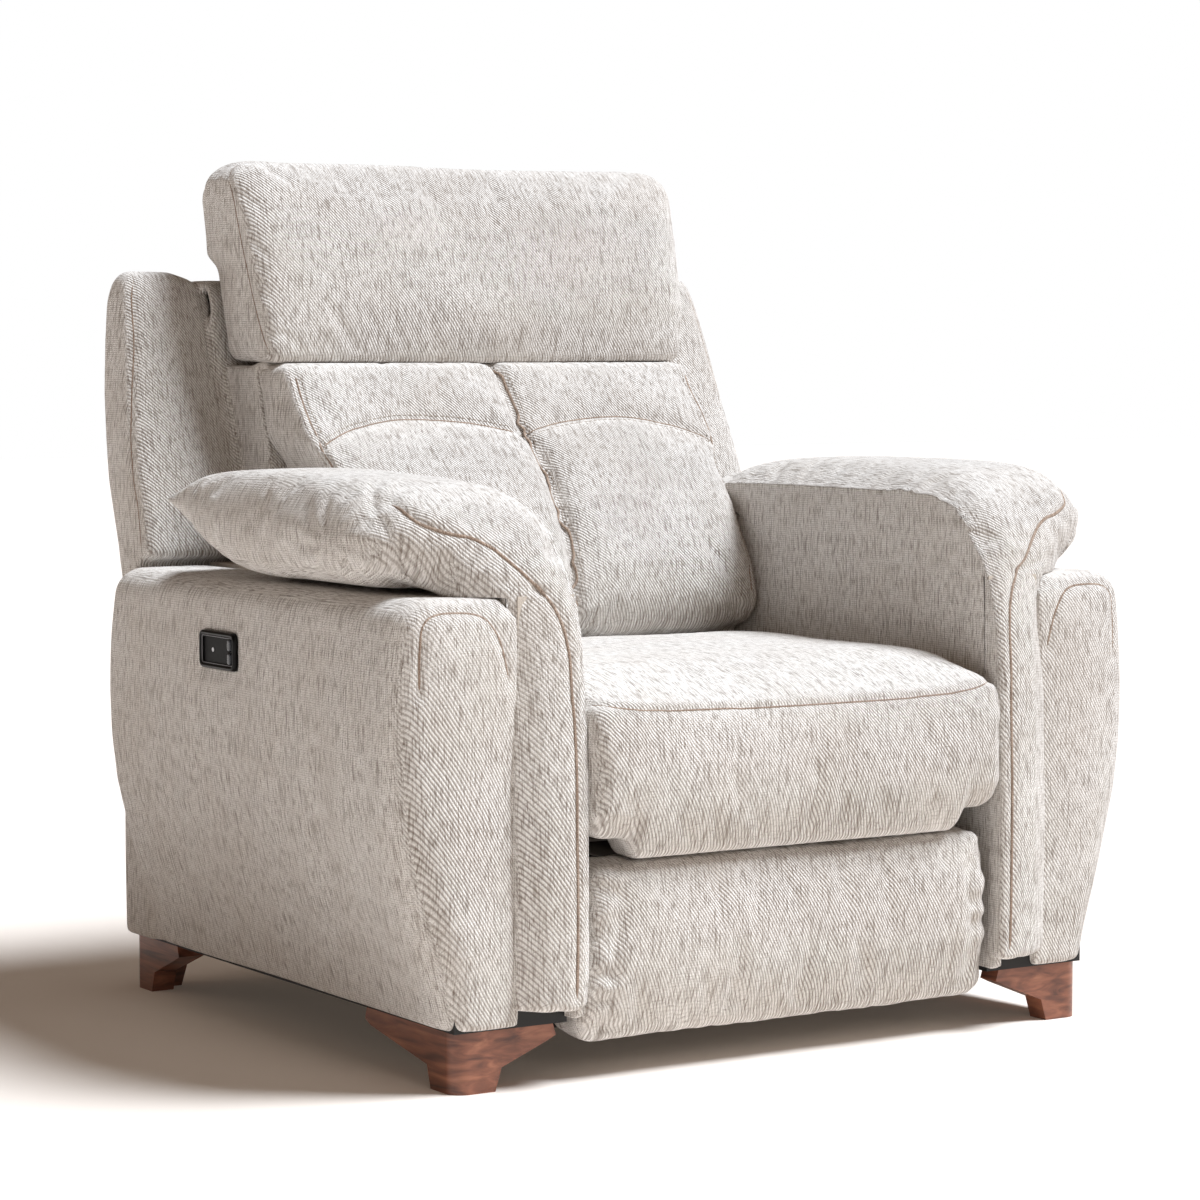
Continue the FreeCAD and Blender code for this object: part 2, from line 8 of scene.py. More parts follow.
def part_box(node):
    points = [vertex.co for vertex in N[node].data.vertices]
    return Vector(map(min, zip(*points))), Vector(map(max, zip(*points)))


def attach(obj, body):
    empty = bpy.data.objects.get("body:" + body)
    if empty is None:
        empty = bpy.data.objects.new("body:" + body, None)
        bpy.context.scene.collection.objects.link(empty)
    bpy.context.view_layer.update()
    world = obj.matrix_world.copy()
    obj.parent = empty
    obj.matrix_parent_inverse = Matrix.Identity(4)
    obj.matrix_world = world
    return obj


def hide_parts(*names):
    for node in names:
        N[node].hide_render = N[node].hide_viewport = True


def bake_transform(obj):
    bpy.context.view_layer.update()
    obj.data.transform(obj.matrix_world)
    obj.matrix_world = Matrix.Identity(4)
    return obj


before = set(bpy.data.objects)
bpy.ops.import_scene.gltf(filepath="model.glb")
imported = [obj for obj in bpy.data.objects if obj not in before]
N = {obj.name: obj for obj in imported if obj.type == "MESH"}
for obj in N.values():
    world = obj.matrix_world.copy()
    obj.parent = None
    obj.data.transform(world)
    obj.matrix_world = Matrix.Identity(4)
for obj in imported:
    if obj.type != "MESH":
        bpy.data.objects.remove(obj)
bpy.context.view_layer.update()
SHIFT = 12.0          # mm, the design's origin shift in Y
col = bpy.context.scene.collection


# ---------------------------------------------------------------- geometry helpers (millimetres in, metres out)
def to_m(a):
    a = np.asarray(a, float).copy()
    a[..., 1] += SHIFT
    return a * 0.001

def rounded(poly, n=7):
    """Closed 2-D polygon [(a, b, radius)] with its corners rounded."""
    out = []
    k = len(poly)
    for i in range(k):
        p = np.array(poly[i][:2], float)
        r = poly[i][2] if len(poly[i]) > 2 else 0.0
        a = np.array(poly[i - 1][:2], float) - p
        b = np.array(poly[(i + 1) % k][:2], float) - p
        la, lb = np.linalg.norm(a), np.linalg.norm(b)
        if r <= 0:
            out.append(p)
            continue
        a, b = a / la, b / lb
        ang = math.acos(max(-1, min(1, float(a @ b))))
        t = min(r / max(math.tan(ang / 2), 1e-3), la * 0.48, lb * 0.48)
        p0, p1 = p + a * t, p + b * t
        for j in range(n + 1):
            s = j / n
            out.append((1 - s) ** 2 * p0 + 2 * s * (1 - s) * p + s * s * p1)
    return np.array(out)

def resample(pts, count, closed=True):
    p = np.asarray(pts, float)
    q = np.vstack([p, p[:1]]) if closed else p
    seg = np.linalg.norm(np.diff(q, axis=0), axis=1)
    acc = np.concatenate([[0], np.cumsum(seg)])
    t = np.linspace(0, acc[-1], count + 1)[:-1] if closed else np.linspace(0, acc[-1], count)
    return np.stack([np.interp(t, acc, q[:, i]) for i in range(q.shape[1])], 1)

def offset2(p, d):
    """Closed 2-D loop moved inward by d."""
    t = np.roll(p, -1, 0) - np.roll(p, 1, 0)
    nrm = np.stack([t[:, 1], -t[:, 0]], 1)
    nrm /= np.maximum(np.linalg.norm(nrm, axis=1, keepdims=True), 1e-9)
    area = 0.5 * np.sum(p[:, 0] * np.roll(p[:, 1], -1) - np.roll(p[:, 0], -1) * p[:, 1])
    if area < 0:
        nrm = -nrm
    return p - nrm * d

def new_mesh(name, verts, faces):
    me = bpy.data.meshes.new(name)
    me.from_pydata([tuple(v) for v in verts], [], [tuple(f) for f in faces])
    me.validate()
    me.update()
    ob = bpy.data.objects.new(name, me)
    col.objects.link(ob)
    return ob

def loft(name, rings):
    """Closed skin over rings (K, n, 3) in mm."""
    rings = to_m(rings)
    k, n = rings.shape[0], rings.shape[1]
    faces = []
    for i in range(k - 1):
        for j in range(n):
            a, b = i * n + j, i * n + (j + 1) % n
            faces.append((a, b, b + n, a + n))
    faces.append(tuple(range(n))[::-1])
    faces.append(tuple((k - 1) * n + j for j in range(n)))
    ob = new_mesh(name, rings.reshape(-1, 3), faces)
    return ob

def ends(lo, hi, r_lo, r_hi, k=6):
    """Stations and insets of a bar with rounded ends."""
    st = []
    for i in range(k + 1):
        t = math.pi / 2 * (1 - i / k)
        st.append((lo + r_lo - r_lo * math.sin(t), r_lo * (1 - math.cos(t))))
    m = max(3, int((hi - lo) / 40))
    for i in range(1, m):
        st.append((lo + r_lo + (hi - lo - r_lo - r_hi) * i / m, 0.0))
    for i in range(k + 1):
        t = math.pi / 2 * i / k
        st.append((hi - r_hi + r_hi * math.sin(t), r_hi * (1 - math.cos(t))))
    return st

def prism_x(name, poly, x0, x1, r0, r1, count=160):
    base = resample(rounded(poly), count)
    rings = []
    for x, d in ends(x0, x1, r0, r1):
        p = offset2(base, d)
        rings.append(np.column_stack([np.full(len(p), x), p[:, 0], p[:, 1]]))
    return loft(name, np.array(rings))

def co_of(ob):
    a = np.zeros(len(ob.data.vertices) * 3)
    ob.data.vertices.foreach_get("co", a)
    return a.reshape(-1, 3)

def set_co(ob, a):
    ob.data.vertices.foreach_set("co", np.asarray(a, float).ravel())
    ob.data.update()

def nor_of(ob):
    ob.data.update()
    a = np.zeros(len(ob.data.vertices) * 3)
    ob.data.vertex_normals.foreach_get("vector", a)
    return a.reshape(-1, 3)

def apply_all(ob):
    dg = bpy.context.evaluated_depsgraph_get()
    dg.update()
    me = bpy.data.meshes.new_from_object(ob.evaluated_get(dg))
    ob.modifiers.clear()
    old = ob.data
    ob.data = me
    me.name = ob.name
    bpy.data.meshes.remove(old)
    return ob

def join(name, obs):
    verts, faces, off = [], [], 0
    for o in obs:
        c = co_of(o)
        verts.append(c)
        faces += [tuple(i + off for i in p.vertices) for p in o.data.polygons]
        off += len(c)
        bpy.data.objects.remove(o)
    return new_mesh(name, np.vstack(verts), faces)

def remesh(ob, voxel):
    m = ob.modifiers.new("r", "REMESH")
    m.mode = "VOXEL"
    m.voxel_size = voxel
    m.use_smooth_shade = True
    return apply_all(ob)

def smooth(ob, steps, factor=0.5, weight=None):
    me = ob.data
    e = np.zeros(len(me.edges) * 2, int)
    me.edges.foreach_get("vertices", e)
    e = e.reshape(-1, 2)
    c = co_of(ob)
    deg = np.bincount(e.ravel(), minlength=len(c)).astype(float)[:, None]
    for _ in range(steps):
        s = np.zeros_like(c)
        for k in range(3):
            s[:, k] = np.bincount(e[:, 0], c[e[:, 1], k], len(c)) + np.bincount(e[:, 1], c[e[:, 0], k], len(c))
        d = (s / np.maximum(deg, 1) - c) * factor
        c = c + (d if weight is None else d * weight[:, None])
    set_co(ob, c)
    return ob

def subdivide(ob, levels=1):
    m = ob.modifiers.new("s", "SUBSURF")
    m.levels = m.render_levels = levels
    return apply_all(ob)

def sstep(x):
    x = np.clip(x, 0, 1)
    return x * x * (3 - 2 * x)

def warp(ob, fn):
    """fn(x, y, z) in the design's millimetres -> new x, y, z."""
    c = co_of(ob) * 1000.0
    x, y, z = fn(c[:, 0].copy(), c[:, 1] - SHIFT, c[:, 2].copy())
    set_co(ob, to_m(np.column_stack([x, y, z])))
    return ob

def curve_through(pts, step=4.0):
    """Smooth open line through mm points, sampled every step mm, in metres."""
    p = np.asarray(pts, float)
    q = np.vstack([2 * p[0] - p[1], p, 2 * p[-1] - p[-2]])
    out = []
    for i in range(1, len(q) - 2):
        a, b, c, d = q[i - 1], q[i], q[i + 1], q[i + 2]
        n = max(2, int(np.linalg.norm(c - b) / step))
        for j in range(n):
            t = j / n
            out.append(0.5 * (2 * b + (c - a) * t + (2 * a - 5 * b + 4 * c - d) * t * t + (3 * b - a - 3 * c + d) * t ** 3))
    out.append(p[-1])
    return to_m(resample(np.array(out), max(3, int(np.sum(np.linalg.norm(np.diff(np.array(out), axis=0), axis=1)) / step)), False))

def bvh_of(ob):
    return BVHTree.FromPolygons([v.co.copy() for v in ob.data.vertices], [tuple(p.vertices) for p in ob.data.polygons])

def lay_on(ob, line, tree=None):
    tree = tree or bvh_of(ob)
    pts, nrm = [], []
    for p in line:
        loc, n, _, _ = tree.find_nearest(Vector(p))
        pts.append(loc)
        nrm.append(n)
    pts, nrm = np.array(pts), np.array(nrm)
    for _ in range(3):
        pts[1:-1] = 0.25 * pts[:-2] + 0.5 * pts[1:-1] + 0.25 * pts[2:]
        nrm[1:-1] = 0.25 * nrm[:-2] + 0.5 * nrm[1:-1] + 0.25 * nrm[2:]
    nrm /= np.maximum(np.linalg.norm(nrm, axis=1, keepdims=True), 1e-9)
    return pts, nrm

def dist_to(c, lines):
    kd = KDTree(sum(len(l) for l in lines))
    i = 0
    for l in lines:
        for p in l:
            kd.insert(Vector(p), i)
            i += 1
    kd.balance()
    return np.array([kd.find(Vector(p))[2] for p in c])

def groove(ob, lines, width, depth):
    c, n = co_of(ob), nor_of(ob)
    d = dist_to(c, lines)
    set_co(ob, c - n * (depth * np.exp(-(d / width) ** 2))[:, None])

def tube(name, pts, nrm, r, sink=0.0, flat=1.0, sides=8, taper=True):
    """Round or flattened ridge laid along a line."""
    pts = np.asarray(pts) - nrm * sink
    t = np.gradient(pts, axis=0)
    t /= np.maximum(np.linalg.norm(t, axis=1, keepdims=True), 1e-9)
    b = np.cross(t, nrm)
    b /= np.maximum(np.linalg.norm(b, axis=1, keepdims=True), 1e-9)
    u = np.cross(b, t)
    verts, k = [], len(pts)
    for i in range(k):
        f = min(1.0, 0.25 + 0.75 * min(i, k - 1 - i) / 3.0) if taper else 1.0
        for j in range(sides):
            a = 2 * math.pi * j / sides
            verts.append(pts[i] + (b[i] * math.cos(a) + u[i] * math.sin(a) * flat) * r * f)
    faces = []
    for i in range(k - 1):
        for j in range(sides):
            p, q = i * sides + j, i * sides + (j + 1) % sides
            faces.append((p, q, q + sides, p + sides))
    faces.append(tuple(range(sides))[::-1])
    faces.append(tuple((k - 1) * sides + j for j in range(sides)))
    ob = new_mesh(name, verts, faces)
    ob.data.polygons.foreach_set("use_smooth", [True] * len(ob.data.polygons))
    return ob

def stitches(name, pts, nrm, side_off, length=0.0052, gap=0.0024, r=0.00055, lift=0.0002):
    """Row of thread stitches beside a seam."""
    t = np.gradient(pts, axis=0)
    t /= np.maximum(np.linalg.norm(t, axis=1, keepdims=True), 1e-9)
    b = np.cross(t, nrm)
    b /= np.maximum(np.linalg.norm(b, axis=1, keepdims=True), 1e-9)
    p = pts + b * side_off + nrm * lift
    seg = np.linalg.norm(np.diff(p, axis=0), axis=1)
    acc = np.concatenate([[0], np.cumsum(seg)])
    verts, faces, s = [], [], gap
    while s + length < acc[-1]:
        base = len(verts)
        for m, f in ((0.0, 0.35), (0.2, 1.0), (0.8, 1.0), (1.0, 0.35)):
            q = s + length * m
            c = np.array([np.interp(q, acc, p[:, k]) for k in range(3)])
            nn = np.array([np.interp(q, acc, nrm[:, k]) for k in range(3)])
            bb = np.array([np.interp(q, acc, b[:, k]) for k in range(3)])
            for j in range(5):
                a = 2 * math.pi * j / 5
                verts.append(c + (bb * math.cos(a) + nn * math.sin(a)) * r * f)
        for i in range(3):
            for j in range(5):
                a_, c_ = base + i * 5 + j, base + i * 5 + (j + 1) % 5
                faces.append((a_, c_, c_ + 5, a_ + 5))
        faces.append(tuple(base + j for j in range(5))[::-1])
        faces.append(tuple(base + 15 + j for j in range(5)))
        s += length + gap
    ob = new_mesh(name, verts, faces)
    ob.data.polygons.foreach_set("use_smooth", [True] * len(ob.data.polygons))
    return ob

def cap_move(before, after, cap):
    d = after - before
    m = np.linalg.norm(d, axis=1, keepdims=True)
    return before + d * (cap * np.tanh(m / cap) / np.maximum(m, 1e-9))

def puff(ob, pin, pressure=4.0, cap=0.012, frames=20, slack=0.04, quality=5):
    """Cloth inflated over its stuffing; pin (0..1 per vertex) holds the sewn lines and hidden faces."""
    sc = bpy.context.scene
    vg = ob.vertex_groups.new(name="pin")
    w = np.round(np.clip(pin, 0, 1), 2)
    for val in np.unique(w):
        if val > 0:
            vg.add([int(i) for i in np.nonzero(w == val)[0]], float(val), "REPLACE")
    before = co_of(ob)
    m = ob.modifiers.new("cloth", "CLOTH")
    s = m.settings
    s.quality = quality
    s.mass = 0.25
    s.tension_stiffness = s.compression_stiffness = 18
    s.shear_stiffness = 6
    s.bending_stiffness = 0.9
    s.air_damping = 2.0
    s.use_pressure = True
    s.uniform_pressure_force = pressure
    s.vertex_group_mass = "pin"
    s.pin_stiffness = 2.0
    s.shrink_min = -slack
    s.effector_weights.gravity = 0.0
    m.collision_settings.use_collision = False
    m.collision_settings.use_self_collision = False
    m.point_cache.frame_start = 1
    m.point_cache.frame_end = frames
    for f in range(1, frames + 1):
        sc.frame_set(f)
    dg = bpy.context.evaluated_depsgraph_get()
    me = ob.evaluated_get(dg).to_mesh()
    a = np.zeros(len(me.vertices) * 3)
    me.vertices.foreach_get("co", a)
    after = a.reshape(-1, 3)
    ob.evaluated_get(dg).to_mesh_clear()
    ob.modifiers.clear()
    sc.frame_set(1)
    ob.vertex_groups.clear()
    if not np.isfinite(after).all() or len(after) != len(before):
        after = before
    set_co(ob, cap_move(before, after, cap))
    return ob

def hash3(c, seed):
    rng = np.random.default_rng(seed)
    k = rng.normal(size=(9, 3))
    ph = rng.uniform(0, 6.28, 9)
    return k, ph

def lumps(ob, amp, size, seed, weight=None):
    """Gentle unevenness of stuffing, amp in mm, size in mm."""
    c, n = co_of(ob), nor_of(ob)
    k, ph = hash3(c, seed)
    v = np.zeros(len(c))
    for i in range(9):
        v += np.sin(c @ (k[i] / (size * 0.001)) + ph[i])
    v = v / 3.0 * amp * 0.001
    if weight is not None:
        v = v * weight
    set_co(ob, c + n * v[:, None])
    return ob

def cloth_uv(ob, side_cut=0.74):
    """Fabric coordinates in metres, laid the way the cover's cloth runs: up the fronts and back over the tops."""
    me = ob.data
    uv = me.uv_layers.new(name="cloth") if "cloth" not in me.uv_layers else me.uv_layers["cloth"]
    nl = len(me.loops)
    vi = np.zeros(nl, int)
    me.loops.foreach_get("vertex_index", vi)
    c = co_of(ob)
    fn = np.zeros(len(me.polygons) * 3)
    me.polygons.foreach_get("normal", fn)
    fn = fn.reshape(-1, 3)
    tot = np.zeros(len(me.polygons), int)
    me.polygons.foreach_get("loop_total", tot)
    fi = np.repeat(np.arange(len(me.polygons)), tot)
    p, nn = c[vi], fn[fi]
    side = np.abs(nn[:, 0]) > side_cut
    u = np.where(side, -np.sign(nn[:, 0]) * -p[:, 1], p[:, 0])
    back = nn[:, 1] > 0.35
    v = np.where(side, p[:, 2], np.where(back, p[:, 2] - p[:, 1], p[:, 2] + p[:, 1]))
    uv.data.foreach_set("uv", np.column_stack([u, v]).ravel())
    # second map: how strongly the diagonal rib shows (fronts) against the slubbed plain weave (sides and tops)
    vn = nor_of(ob)[vi]
    k = np.clip((-vn[:, 1] - 0.30) / 0.45, 0, 1)
    k = k * k * (3 - 2 * k)
    wv = me.uv_layers.new(name="weave") if "weave" not in me.uv_layers else me.uv_layers["weave"]
    wv.data.foreach_set("uv", np.column_stack([k, np.zeros(nl)]).ravel())
    return ob

def finish_soft(ob, mat, body, nodes=()):
    ob.data.materials.clear()
    ob.data.materials.append(mat)
    ob.data.polygons.foreach_set("use_smooth", [True] * len(ob.data.polygons))
    cloth_uv(ob)
    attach(ob, body)
    if nodes:
        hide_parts(*nodes)
    return ob


# ---------------------------------------------------------------- materials
def mat_new(name):
    m = bpy.data.materials.new(name)
    m.use_nodes = True
    t = m.node_tree
    t.nodes.clear()
    out = t.nodes.new("ShaderNodeOutputMaterial")
    b = t.nodes.new("ShaderNodeBsdfPrincipled")
    t.links.new(b.outputs[0], out.inputs[0])
    return m, t, b

def node(t, kind, **kw):
    n = t.nodes.new(kind)
    for k, v in kw.items():
        setattr(n, k, v)
    return n

def mathn(t, op, a, b=None, c=None):
    n = t.nodes.new("ShaderNodeMath")
    n.operation = op
    for i, v in enumerate((a, b, c)):
        if v is None:
            continue
        if isinstance(v, (int, float)):
            n.inputs[i].default_value = v
        else:
            t.links.new(v, n.inputs[i])
    return n.outputs[0]

def mixc(t, fac, a, b, mode="MIX"):
    n = t.nodes.new("ShaderNodeMix")
    n.data_type = "RGBA"
    n.blend_type = mode
    for sock, v in ((n.inputs[0], fac), (n.inputs[6], a), (n.inputs[7], b)):
        if isinstance(v, (int, float)):
            sock.default_value = v
        elif isinstance(v, tuple):
            sock.default_value = v
        else:
            t.links.new(v, sock)
    return n.outputs[2]

def srgb(r, g, b):
    f = lambda c: (c / 255 / 12.92) if c / 255 <= 0.04045 else ((c / 255 + 0.055) / 1.055) ** 2.4
    return (f(r), f(g), f(b), 1.0)

def fabric(name, light=(241, 238, 234), dark=(100, 82, 66), seed=0.0, flat=False):
    m, t, b = mat_new(name)
    uv = node(t, "ShaderNodeUVMap", uv_map="cloth")
    sep = node(t, "ShaderNodeSeparateXYZ")
    t.links.new(uv.outputs[0], sep.inputs[0])
    U, V = sep.outputs[0], sep.outputs[1]
    wv = node(t, "ShaderNodeUVMap", uv_map="weave")
    sw = node(t, "ShaderNodeSeparateXYZ")
    t.links.new(wv.outputs[0], sw.inputs[0])
    obj = node(t, "ShaderNodeTexCoord")
    ramp = lambda x, lo, hi: mathn(t, "MINIMUM", mathn(t, "MAXIMUM", mathn(t, "DIVIDE", mathn(t, "SUBTRACT", x, lo), hi - lo), 0.0), 1.0)
    def noise(vec, scale, detail=2.0, rough=0.55):
        n = node(t, "ShaderNodeTexNoise")
        n.inputs["Scale"].default_value = scale
        n.inputs["Detail"].default_value = detail
        n.inputs["Roughness"].default_value = rough
        t.links.new(vec, n.inputs["Vector"])
        return n.outputs[0]
    drift = noise(obj.outputs["Object"], 8.0, 1.0)
    patch = noise(obj.outputs["Object"], 5.0, 2.0)
    dr = mathn(t, "MULTIPLY", mathn(t, "SUBTRACT", drift, 0.5), 0.012)
    # the rib fades in and out a little across the cloth
    tw = mathn(t, "MULTIPLY", sw.outputs[0], mathn(t, "MULTIPLY_ADD", ramp(patch, 0.35, 0.6), 0.45, 0.55))
    s_ = mathn(t, "ADD", mathn(t, "MULTIPLY_ADD", V, 0.64, U), dr)
    rib = mathn(t, "MULTIPLY_ADD", mathn(t, "SINE", mathn(t, "MULTIPLY", s_, 2 * math.pi / 0.0042)), 0.5, 0.5)
    c_ = mathn(t, "SUBTRACT", V, mathn(t, "MULTIPLY", U, 0.5))
    yarn = mathn(t, "MULTIPLY_ADD", mathn(t, "SINE", mathn(t, "MULTIPLY", mathn(t, "MULTIPLY_ADD", rib, 0.0006, c_), 2 * math.pi / 0.0034)), 0.5, 0.5)
    # plain weave under it
    wu = mathn(t, "MULTIPLY_ADD", mathn(t, "SINE", mathn(t, "MULTIPLY", mathn(t, "ADD", U, dr), 2 * math.pi / 0.0029)), 0.5, 0.5)
    wv_ = mathn(t, "MULTIPLY_ADD", mathn(t, "SINE", mathn(t, "MULTIPLY", V, 2 * math.pi / 0.0026)), 0.5, 0.5)
    plain = mathn(t, "MULTIPLY", mathn(t, "ADD", wu, wv_), 0.5)
    def slub(su, sv, detail=2.0, rough=0.6, z=0.0):
        comb = node(t, "ShaderNodeCombineXYZ")
        t.links.new(mathn(t, "MULTIPLY", mathn(t, "ADD", U, mathn(t, "MULTIPLY", dr, 0.4)), su), comb.inputs[0])
        t.links.new(mathn(t, "MULTIPLY", V, sv), comb.inputs[1])
        comb.inputs[2].default_value = seed + z
        return noise(comb.outputs[0], 1.0, detail, rough)
    up = slub(560.0, 62.0)
    up2 = slub(400.0, 24.0, 1.5, 0.5, 4.0)
    across = slub(95.0, 560.0, 2.0, 0.6, 9.0)
    grain = slub(900.0, 900.0, 2.0, 0.6, 2.0)
    dash = mathn(t, "MAXIMUM", ramp(up, 0.52, 0.68), mathn(t, "MULTIPLY", ramp(up2, 0.53, 0.68), 0.85))
    dash = mathn(t, "MAXIMUM", dash, mathn(t, "MULTIPLY", ramp(across, 0.55, 0.70), 0.66))
    pale = ramp(up, 0.47, 0.33)
    L = srgb(*light)
    D = srgb(*dark)
    hi = srgb(min(255, light[0] + 14), min(255, light[1] + 16), min(255, light[2] + 18))
    base = mixc(t, mathn(t, "MULTIPLY", dash, 0.72), L, D)
    base = mixc(t, mathn(t, "MULTIPLY", pale, 0.55), base, hi)
    cloud = noise(obj.outputs["Object"], 11.0, 3.0)
    base = mixc(t, mathn(t, "MULTIPLY", ramp(cloud, 0.40, 0.70), 0.20), base, srgb(207, 196, 184))
    # painted shade: the grooves between the diagonal ribs are darkened towards the dark thread colour, on the
    # front-facing faces where the rib shows
    gap = mathn(t, "MULTIPLY", ramp(rib, 0.62, 0.05), mathn(t, "MULTIPLY", tw, 0.62))
    base = mixc(t, gap, base, srgb(int(dark[0] * 1.02), int(dark[1] * 1.02), int(dark[2] * 1.02)))
    inv = mathn(t, "SUBTRACT", 1.0, tw)
    base = mixc(t, mathn(t, "MULTIPLY", mathn(t, "MULTIPLY", ramp(plain, 0.50, 0.05), inv), 0.50), base, D)
    base = mixc(t, mathn(t, "MULTIPLY", ramp(grain, 0.52, 0.70), 0.28), base, D)
    t.links.new(base, b.inputs["Base Color"])
    b.inputs["Roughness"].default_value = 0.93
    b.inputs["Sheen Weight"].default_value = 0.18
    b.inputs["Sheen Roughness"].default_value = 0.5
    b.inputs["Specular IOR Level"].default_value = 0.2
    h = mathn(t, "ADD", mathn(t, "MULTIPLY", mathn(t, "MULTIPLY", rib, tw), 0.8), mathn(t, "MULTIPLY", yarn, 0.22))
    h = mathn(t, "ADD", h, mathn(t, "MULTIPLY", mathn(t, "MULTIPLY", plain, inv), 0.35))
    h = mathn(t, "ADD", h, mathn(t, "MULTIPLY", up, -0.8))
    h = mathn(t, "ADD", h, mathn(t, "MULTIPLY", across, -0.45))
    h = mathn(t, "ADD", h, mathn(t, "MULTIPLY", grain, 0.4))
    bump = node(t, "ShaderNodeBump")
    bump.inputs["Strength"].default_value = 0.8
    bump.inputs["Distance"].default_value = 0.0016
    t.links.new(h, bump.inputs["Height"])
    t.links.new(bump.outputs[0], b.inputs["Normal"])
    return m

FAB = fabric("cloth_heather")
FAB2 = FAB
# painted shade: the seam cords get a darker cloth colour than the cover, standing in for the shade along the sewn
# grooves
SEAM_SHADE_FAB = fabric("cloth_seam_painted_shade", light=(166, 146, 130), dark=(98, 78, 64), seed=7.0)
THREAD = fabric("cloth_thread", light=(202, 192, 182), dark=(128, 110, 96), seed=3.0)

def wood_mat():
    m, t, b = mat_new("walnut")
    obj = node(t, "ShaderNodeTexCoord")
    mp = node(t, "ShaderNodeMapping")
    mp.inputs["Scale"].default_value = (26.0, 9.0, 90.0)
    t.links.new(obj.outputs["Object"], mp.inputs["Vector"])
    n1 = node(t, "ShaderNodeTexNoise")
    n1.inputs["Scale"].default_value = 1.0
    n1.inputs["Detail"].default_value = 5.0
    n1.inputs["Distortion"].default_value = 0.8
    t.links.new(mp.outputs[0], n1.inputs["Vector"])
    mp2 = node(t, "ShaderNodeMapping")
    mp2.inputs["Scale"].default_value = (120.0, 60.0, 900.0)
    t.links.new(obj.outputs["Object"], mp2.inputs["Vector"])
    n2 = node(t, "ShaderNodeTexNoise")
    n2.inputs["Scale"].default_value = 1.0
    n2.inputs["Detail"].default_value = 3.0
    t.links.new(mp2.outputs[0], n2.inputs["Vector"])
    ramp = node(t, "ShaderNodeValToRGB")
    r = ramp.color_ramp
    r.elements[0].position = 0.3
    r.elements[0].color = srgb(84, 47, 34)
    r.elements[1].position = 0.72
    r.elements[1].color = srgb(176, 115, 86)
    e = r.elements.new(0.5)
    e.color = srgb(136, 82, 60)
    t.links.new(n1.outputs[0], ramp.inputs[0])
    c = mixc(t, mathn(t, "MULTIPLY", n2.outputs[0], 0.35), ramp.outputs[0], srgb(66, 42, 33))
    t.links.new(c, b.inputs["Base Color"])
    b.inputs["Roughness"].default_value = 0.36
    b.inputs["Coat Weight"].default_value = 0.25
    b.inputs["Coat Roughness"].default_value = 0.25
    bump = node(t, "ShaderNodeBump")
    bump.inputs["Strength"].default_value = 0.18
    bump.inputs["Distance"].default_value = 0.0006
    t.links.new(n2.outputs[0], bump.inputs["Height"])
    t.links.new(bump.outputs[0], b.inputs["Normal"])
    return m

def hard(name, rgb, rough, metal=0.0, grain=250.0, amount=0.12, bumpd=0.0002, coat=0.0):
    m, t, b = mat_new(name)
    obj = node(t, "ShaderNodeTexCoord")
    n = node(t, "ShaderNodeTexNoise")
    n.inputs["Scale"].default_value = grain
    n.inputs["Detail"].default_value = 3.0
    t.links.new(obj.outputs["Object"], n.inputs["Vector"])
    dk = tuple(int(c * (1 - amount)) for c in rgb)
    lt = tuple(min(255, int(c * (1 + amount) + 2)) for c in rgb)
    t.links.new(mixc(t, n.outputs[0], srgb(*dk), srgb(*lt)), b.inputs["Base Color"])
    t.links.new(mathn(t, "MULTIPLY_ADD", n.outputs[0], 0.14, rough - 0.07), b.inputs["Roughness"])
    b.inputs["Metallic"].default_value = metal
    b.inputs["Coat Weight"].default_value = coat
    b.inputs["Coat Roughness"].default_value = 0.08
    bump = node(t, "ShaderNodeBump")
    bump.inputs["Strength"].default_value = 0.3
    bump.inputs["Distance"].default_value = bumpd
    t.links.new(n.outputs[0], bump.inputs["Height"])
    t.links.new(bump.outputs[0], b.inputs["Normal"])
    return m

WOOD = wood_mat()
BLACK = hard("black_paint", (24, 23, 23), 0.6)
PLY = hard("plywood", (196, 160, 116), 0.7, grain=60.0, amount=0.2)
STEEL = hard("black_steel", (38, 38, 40), 0.42, 0.6)
ZINC = hard("zinc_steel", (168, 168, 170), 0.32, 1.0, amount=0.08)
GLOSS = hard("gloss_plastic", (9, 9, 10), 0.3, coat=0.12, bumpd=0.00002)
MATT = hard("matt_plastic", (24, 24, 26), 0.42, grain=900.0)
BTN = hard("button_plastic", (62, 66, 72), 0.28, grain=900.0, coat=0.3)
DUST = hard("dust_cover", (30, 28, 27), 0.9, grain=700.0, amount=0.3, bumpd=0.0006)

def lens_mat():
    m, t, b = mat_new("lens")
    obj = node(t, "ShaderNodeTexCoord")
    n = node(t, "ShaderNodeTexNoise")
    n.inputs["Scale"].default_value = 600.0
    t.links.new(obj.outputs["Object"], n.inputs["Vector"])
    t.links.new(mixc(t, n.outputs[0], srgb(176, 178, 184), srgb(206, 208, 214)), b.inputs["Base Color"])
    b.inputs["Roughness"].default_value = 0.15
    b.inputs["Emission Color"].default_value = (1, 1, 1, 1)
    b.inputs["Emission Strength"].default_value = 0.05
    return m
LENS = lens_mat()

def paint(prefixes, mat):
    for n, o in N.items():
        if n.startswith(prefixes):
            o.data.materials.clear()
            o.data.materials.append(mat)
            if n.startswith("foot_"):
                for p in o.data.polygons:
                    p.use_smooth = False

